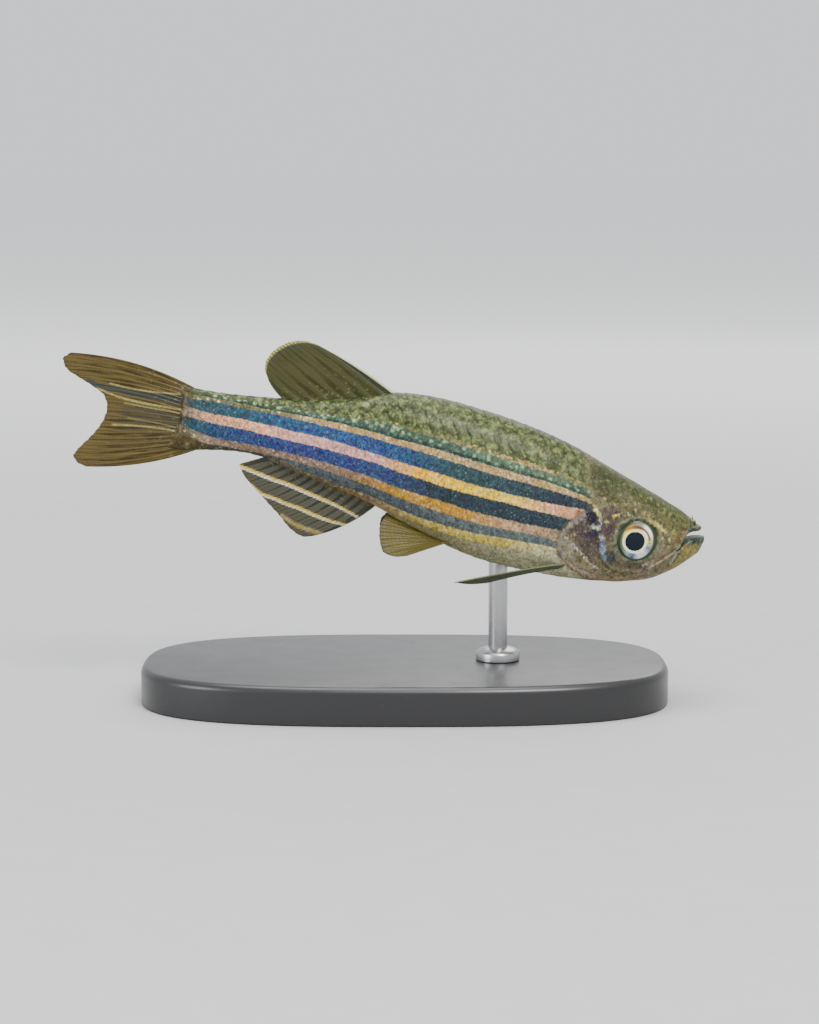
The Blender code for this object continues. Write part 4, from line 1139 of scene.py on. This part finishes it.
def middle_fin(root, margin, bow_first, bow_last):
    """The surface of a fin on the fish's middle plane, its first and last rays arched by the bows."""

    def surface(s, t):
        start, end = through(root, s), through(margin, s)
        bow = (bow_first * (1 - s) - bow_last * s) * 4 * t * (1 - t)
        bow = np.where(t < 0, 0, bow)
        lean = end - start
        length = np.hypot(lean[..., 0], lean[..., 1])
        x = start[..., 0] + lean[..., 0] * t + lean[..., 1] / length * bow
        z = start[..., 1] + lean[..., 1] * t - lean[..., 0] / length * bow
        return np.stack([x, 0 * x, z], -1)

    return surface


def line_mark(line, x, z, width, ragged=0.0):
    """1 on a side-view line and 0 away from it, with a broken edge."""
    rough = ragged * np.sin(23 * x + 9 * z) * np.sin(31 * z - 7 * x)
    return 1 - rise_between(0.6, 1.2, np.abs(line_distance(line, x, z)) / (width * (1 + rough)))


def dorsal_marks(mid, s, t):
    x, z = mid[..., 0], mid[..., 2]
    lead = 1 - rise_between(0.022, 0.04, s)
    tips = rise_between(0.945, 0.965, t) * (0.15 + 0.85 * np.sin(s * 75) ** 2)
    pale = np.maximum(tips, lead)
    inside = np.maximum(hump(s - 0.075, 0.028), hump(t - 0.9, 0.03) * 0.3)
    return np.clip(pale, 0, 1) * 0.92, np.clip(inside, 0, 1) * (1 - pale) * 0.6, lead * 0.7 + 0.3


SUNK = 0.22  # that the roots of the middle fins lie inside the flesh
root = [(x, along(BACK, x) - SUNK) for x in np.linspace(13.4, 6.0, 7)]
margin = [(7.35, 6.8), (6.25, 6.84), (5.2, 6.42), (4.5, 5.75), (4.18, 5.1), (4.2, 4.4), (4.6, 3.7)]
olive_fin = fin_finish(
    "olive_dorsal_fin", ((62, 63, 45), (76, 77, 54), (84, 84, 60), (74, 74, 54)), 0.1,
    ((180, 176, 92), (222, 222, 176)),
)
dorsal = middle_fin(root, margin, 0.16, 0.1)
build_fin("dorsal_fin_sheet", dorsal, 9, dorsal_marks, olive_fin, per_ray=18, split=-0.3)

ANAL_BANDS = (  # (line of a pale band, half width)
    (((3.8, -2.42), (4.93, -2.61), (6.22, -2.83), (7.44, -2.97), (8.48, -3.18), (9.78, -3.43),
      (10.76, -3.63), (12.43, -4.11)), 0.14),
    (((4.9, -3.55), (5.73, -3.98), (6.69, -4.11), (7.48, -4.28), (8.43, -4.39), (9.29, -4.58),
      (10.07, -4.72), (10.83, -4.81), (11.96, -4.85)), 0.125),
)
FAINT_BAND = ((7.4, -5.15), (8.51, -5.57), (9.35, -5.7), (10.3, -5.8))


def anal_marks(mid, s, t):
    saw = (s * 39) % 1.0 - 0.5
    x, z = mid[..., 0], mid[..., 2] + 0.11 * saw
    pale, tone, below = 0 * x, 0 * x + 0.1, 0 * x
    for line, width in ANAL_BANDS:
        away = line_distance(line, x, z)
        wide = width * (1 - 0.4 * rise_between(9, 12.5, x))
        pale = np.maximum(pale, 1 - rise_between(0.6, 1.15, np.abs(away) / wide))
        white = rise_between(-0.02, -0.07, away) * min(width / 0.14, 1) ** 3
        tone = np.where(np.abs(away) < 2 * wide, white, tone)
        below = np.maximum(below, hump(away + wide + 0.1, 0.1))
    last = line_mark(FAINT_BAND, x, z, 0.15, 0.5) * 0.4
    body = rise_between(0.02, 0.12, t) * (1 - 0.5 * rise_between(0.85, 1.0, t)) * 0.6
    body = np.maximum(body, 0.95 * below)
    pale = np.maximum(pale, last) * 0.95
    return pale, body * (1 - pale), tone


root = [(x, along(BELLY, x) + SUNK) for x in np.linspace(13.6, 5.6, 9)]
margin = [
    (9.7, -6.1), (9.15, -6.26), (8.1, -5.9), (7.2, -5.17), (6.4, -4.6), (5.6, -4.0), (4.9, -3.5),
    (4.25, -2.95), (3.83, -2.3),
]
banded_fin = fin_finish(
    "banded_anal_fin", ((66, 62, 46), (90, 84, 58), (100, 96, 74), (80, 78, 62)), 0.1,
    ((214, 182, 88), (246, 246, 236)), ((56, 62, 66), (84, 86, 80)),
)
anal = middle_fin(root, margin, -0.32, 0.0)
build_fin("anal_fin_sheet", anal, 14, anal_marks, banded_fin, split=-0.6)

TAIL_GOLD = (
    (((-0.1, 1.62), (-1.59, 1.42), (-4.43, 1.16), (-5.8, 1.2)), 0.06, 0.7),
    (((0.1, 0.5), (-1.71, 0.44), (-3.42, 0.38), (-5.15, 0.44), (-6.6, 0.7)), 0.07, 0.85),
    (((0.1, 0.22), (-1.6, 0.2), (-3.3, 0.14), (-4.6, 0.1)), 0.055, 0.75),
    (((0.1, -1.0), (-1.74, -1.05), (-3.89, -1.3), (-5.1, -1.5)), 0.07, 0.75),
    (((0.0, -0.8), (-2.0, -0.75), (-4.2, -0.85)), 0.045, 0.4),
)
TAIL_BLUE = (
    (((0.4, 1.06), (-1.85, 1.05), (-3.55, 0.92), (-5.27, 0.89), (-6.66, 0.93), (-7.3, 1.05)), 0.25, 0.85),
    (((0.4, -0.2), (-1.63, -0.1), (-3.33, -0.16), (-4.68, -0.28)), 0.13, 0.6),
    (((0.4, -0.5), (-1.19, -0.45), (-2.52, -0.6), (-4.4, -0.66)), 0.11, 0.5),
    (((0.2, -1.45), (-2.5, -1.5), (-4.5, -1.75)), 0.08, 0.4),
    (((0.2, -1.8), (-2.5, -2.15), (-5.0, -2.7)), 0.07, 0.35),
    (((-1.5, -2.4), (-4.0, -2.9), (-6.0, -3.5)), 0.07, 0.3),
)


def tail_marks(mid, s, t):
    x, z = mid[..., 0], mid[..., 2]
    pale, dark = 0 * x, 0 * x
    for line, width, strength in TAIL_GOLD:
        pale = np.maximum(pale, strength * line_mark(line, x, z, width, 0.35))
    for line, width, strength in TAIL_BLUE:
        taper = 1 - 0.3 * rise_between(-1, -7, x)
        dark = np.maximum(dark, strength * line_mark(line, x, z, width * taper, 0.2))
    middle_web = 0.35 * hump(z + 0.6, 1.0) * rise_between(-6.0, -3.0, x)
    margin_line = 0.35 * rise_between(0.95, 0.99, t)
    return pale, np.maximum(np.maximum(dark, middle_web) * (1 - pale), margin_line), 0 * x + 0.4


root = [(SUNK, 2.02), (SUNK, 1.0), (SUNK, 0.0), (0.3, -1.1), (1.2, -1.72)]
margin = [
    (-8.9, 2.68), (-9.32, 2.2), (-9.0, 1.6), (-8.0, 1.14), (-6.95, 0.75), (-6.1, 0.3), (-5.75, -0.4),
    (-5.8, -1.2), (-6.1, -2.0), (-6.5, -2.7), (-7.1, -3.6), (-7.34, -4.16), (-7.05, -4.52), (-6.35, -4.72),
]
brown_fin = fin_finish(
    "brown_tail_fin", ((66, 58, 42), (100, 88, 58), (112, 98, 64), (92, 82, 56)), 0.1,
    ((142, 132, 80), (190, 182, 130)), ((58, 64, 68), (74, 78, 78)),
)
caudal = middle_fin(root, margin, 0.55, 0.42)
build_fin("caudal_fin_sheet", caudal, 19, tail_marks, brown_fin, rows=84, flesh=0.1)


def plain_marks(mid, s, t):
    lead = 0.1 * (1 - rise_between(0.02, 0.06, s))
    return lead, 0.35 * rise_between(0.9, 1.0, t), 0 * s + 0.5


def underside_at(x, y):
    """The height of the body's underside at (x, y)."""
    _, belly, widest, half, _ = outline(x)
    out = min(abs(y) / half, 1.0) ** (1 / SIDE_ROUNDNESS)
    return widest - (widest - belly) * math.sqrt(1 - out * out)


def paired_fin(side, root, margin, bow):
    """The surface of a fin on one side, its rays arched up by the bow."""

    def surface(s, t):
        start, end = through(root, s), through(margin, s)
        point = start + (end - start) * t[..., None]
        point[..., 2] += bow * 4 * np.clip(t, 0, 1) * (1 - np.clip(t, 0, 1))
        point[..., 1] *= side
        return point

    return surface


yellow_fin = fin_finish(
    "yellow_paired_fin", ((82, 76, 42), (98, 90, 50), (106, 98, 58), (90, 84, 50)), 0.08
)
dusky_fin = fin_finish(
    "dusky_pectoral_fin", ((78, 86, 68), (96, 102, 80), (108, 114, 94), (84, 90, 76)), 0.1
)
PELVIC_ROOT = ((19.0, 1.05), (18.7, 0.85), (18.3, 0.6))
PECTORAL_ROOT = ((26.7, -4.02), (26.5, -4.25), (26.3, -4.47))
PELVIC_MARGIN = (
    (16.2, 2.1, -5.75), (15.3, 2.05, -5.95), (14.6, 1.9, -5.8), (14.3, 1.65, -5.3), (14.1, 1.35, -4.7),
    (14.05, 1.0, -4.0), (14.3, 0.65, -3.5),
)
PECTORAL_MARGIN = (
    (19.6, 5.5, -6.28), (19.65, 5.0, -6.33), (20.2, 4.35, -6.4), (20.9, 3.75, -6.38), (21.8, 3.3, -6.2),
)
for side, word, lift in ((-1, "right", 0.0), (1, "left", 1.0)):
    root = [(x, y, underside_at(x, y) + 0.18) for x, y in PELVIC_ROOT]
    pelvic = paired_fin(side, root, PELVIC_MARGIN, 0.0)
    build_fin(f"pelvic_fin_{word}_sheet", pelvic, 9, plain_marks, yellow_fin, flesh=0.05)
    root = [(x, side_at(x, z) - 0.1, z) for x, z in PECTORAL_ROOT]
    margin = [(x, y, z + lift) for x, y, z in PECTORAL_MARGIN]
    pectoral = paired_fin(side, root, margin, 0.05)
    build_fin(f"pectoral_fin_{word}_sheet", pectoral, 10, plain_marks, dusky_fin, flesh=0.06)


# The stand. A flat oval base, turned and lacquered satin black, carries one short rod of brushed steel in a
# low collar, whose cupped top holds the fish up under its belly. The base's upper edge is rounded over.
BASE_LENGTH, BASE_WIDTH, BASE_HEIGHT, BASE_EDGE, BASE_ROUNDNESS = 36.0, 19.0, 2.6, 0.5, 0.7
ROD_PLACE, ROD_RADIUS, COLLAR_RADIUS, COLLAR_SIDE, COLLAR_HEIGHT = 6.4, 0.65, 1.5, 0.5, 0.9
CHAMFER = 0.12
base_finish, tree, shader = new_material("satin_black_lacquer")
place = in_millimetres(tree)
dust = noise(place, 9.0, 4)
join(shader, {
    "Coat Weight": 0.25, "Coat Roughness": 0.2,
    "Base Color": blend(step(dust, 0.62, 0.8), paint(24, 24, 26), paint(46, 46, 48)),
    "Roughness": scaled(noise(place, 0.5, 3), 0.16, 0.3),
    "Normal": bumped(dust, 0.12, 0.03),
})
rod_finish, tree, shader = new_material("brushed_steel")
brushed = noise(stretched(in_millimetres(tree), (1.0, 1.0, 14.0)), 3.0, 4)
join(shader, {
    "Metallic": 1.0,
    "Base Color": blend(brushed, paint(150, 150, 152), paint(196, 196, 198)),
    "Roughness": scaled(brushed, 0.22, 0.2),
    "Normal": bumped(brushed, 0.2, 0.02),
})


def turned(name, rings, node, made_of):
    """A closed piece through rings of points, standing for a node of the stand."""
    piece = solid(name, np.concatenate(rings) * MM, closed_faces(len(rings), len(rings[0])))
    dress(piece, made_of, 40)
    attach(piece, "root")
    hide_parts(node)


rings = []
profile = [(CHAMFER, 0.0), (0.0, CHAMFER)]
for a in np.linspace(0, math.pi / 2, 7):
    profile.append((BASE_EDGE * (1 - math.cos(a)), BASE_HEIGHT - BASE_EDGE * (1 - math.sin(a))))
for inset, height in profile:
    half_axes = np.array((BASE_LENGTH / 2 - inset, BASE_WIDTH / 2 - inset))
    around = circle(360)
    oval = half_axes * np.sign(around) * np.abs(around) ** BASE_ROUNDNESS
    rings.append(np.insert(oval, 2, height, axis=1))
turned("stand_base_lacquered", rings, "stand_base", base_finish)

rings = []
profile = [(COLLAR_RADIUS - 0.06, 0.0), (COLLAR_RADIUS, 0.06), (COLLAR_RADIUS, COLLAR_SIDE)]
for a in np.linspace(0, math.pi / 2, 6)[1:]:
    reach = (COLLAR_RADIUS - ROD_RADIUS) * math.cos(a) ** 1.5
    profile.append((ROD_RADIUS + reach, COLLAR_SIDE + (COLLAR_HEIGHT - COLLAR_SIDE) * math.sin(a)))
for radius, height in profile + [(ROD_RADIUS, 1.4), (ROD_RADIUS, 3.0)]:
    rings.append([(ROD_PLACE + radius * c, radius * s, BASE_HEIGHT + height) for c, s in circle(72)])
cup = []
for c, s in circle(72):
    x, y = ROD_PLACE + ROD_RADIUS * c, ROD_RADIUS * s
    reach = (x - TAIL_ROOT[0]) / math.cos(PITCH)
    for _ in range(6):
        reach += (x - placed((reach, y, underside_at(reach, y)))[0] / MM) / math.cos(PITCH)
    cup.append((x, y, placed((reach, y, underside_at(reach, y)))[2] / MM + 0.03))
rings.append(cup)
turned("stand_rod_steel", rings, "stand_rod", rod_finish)
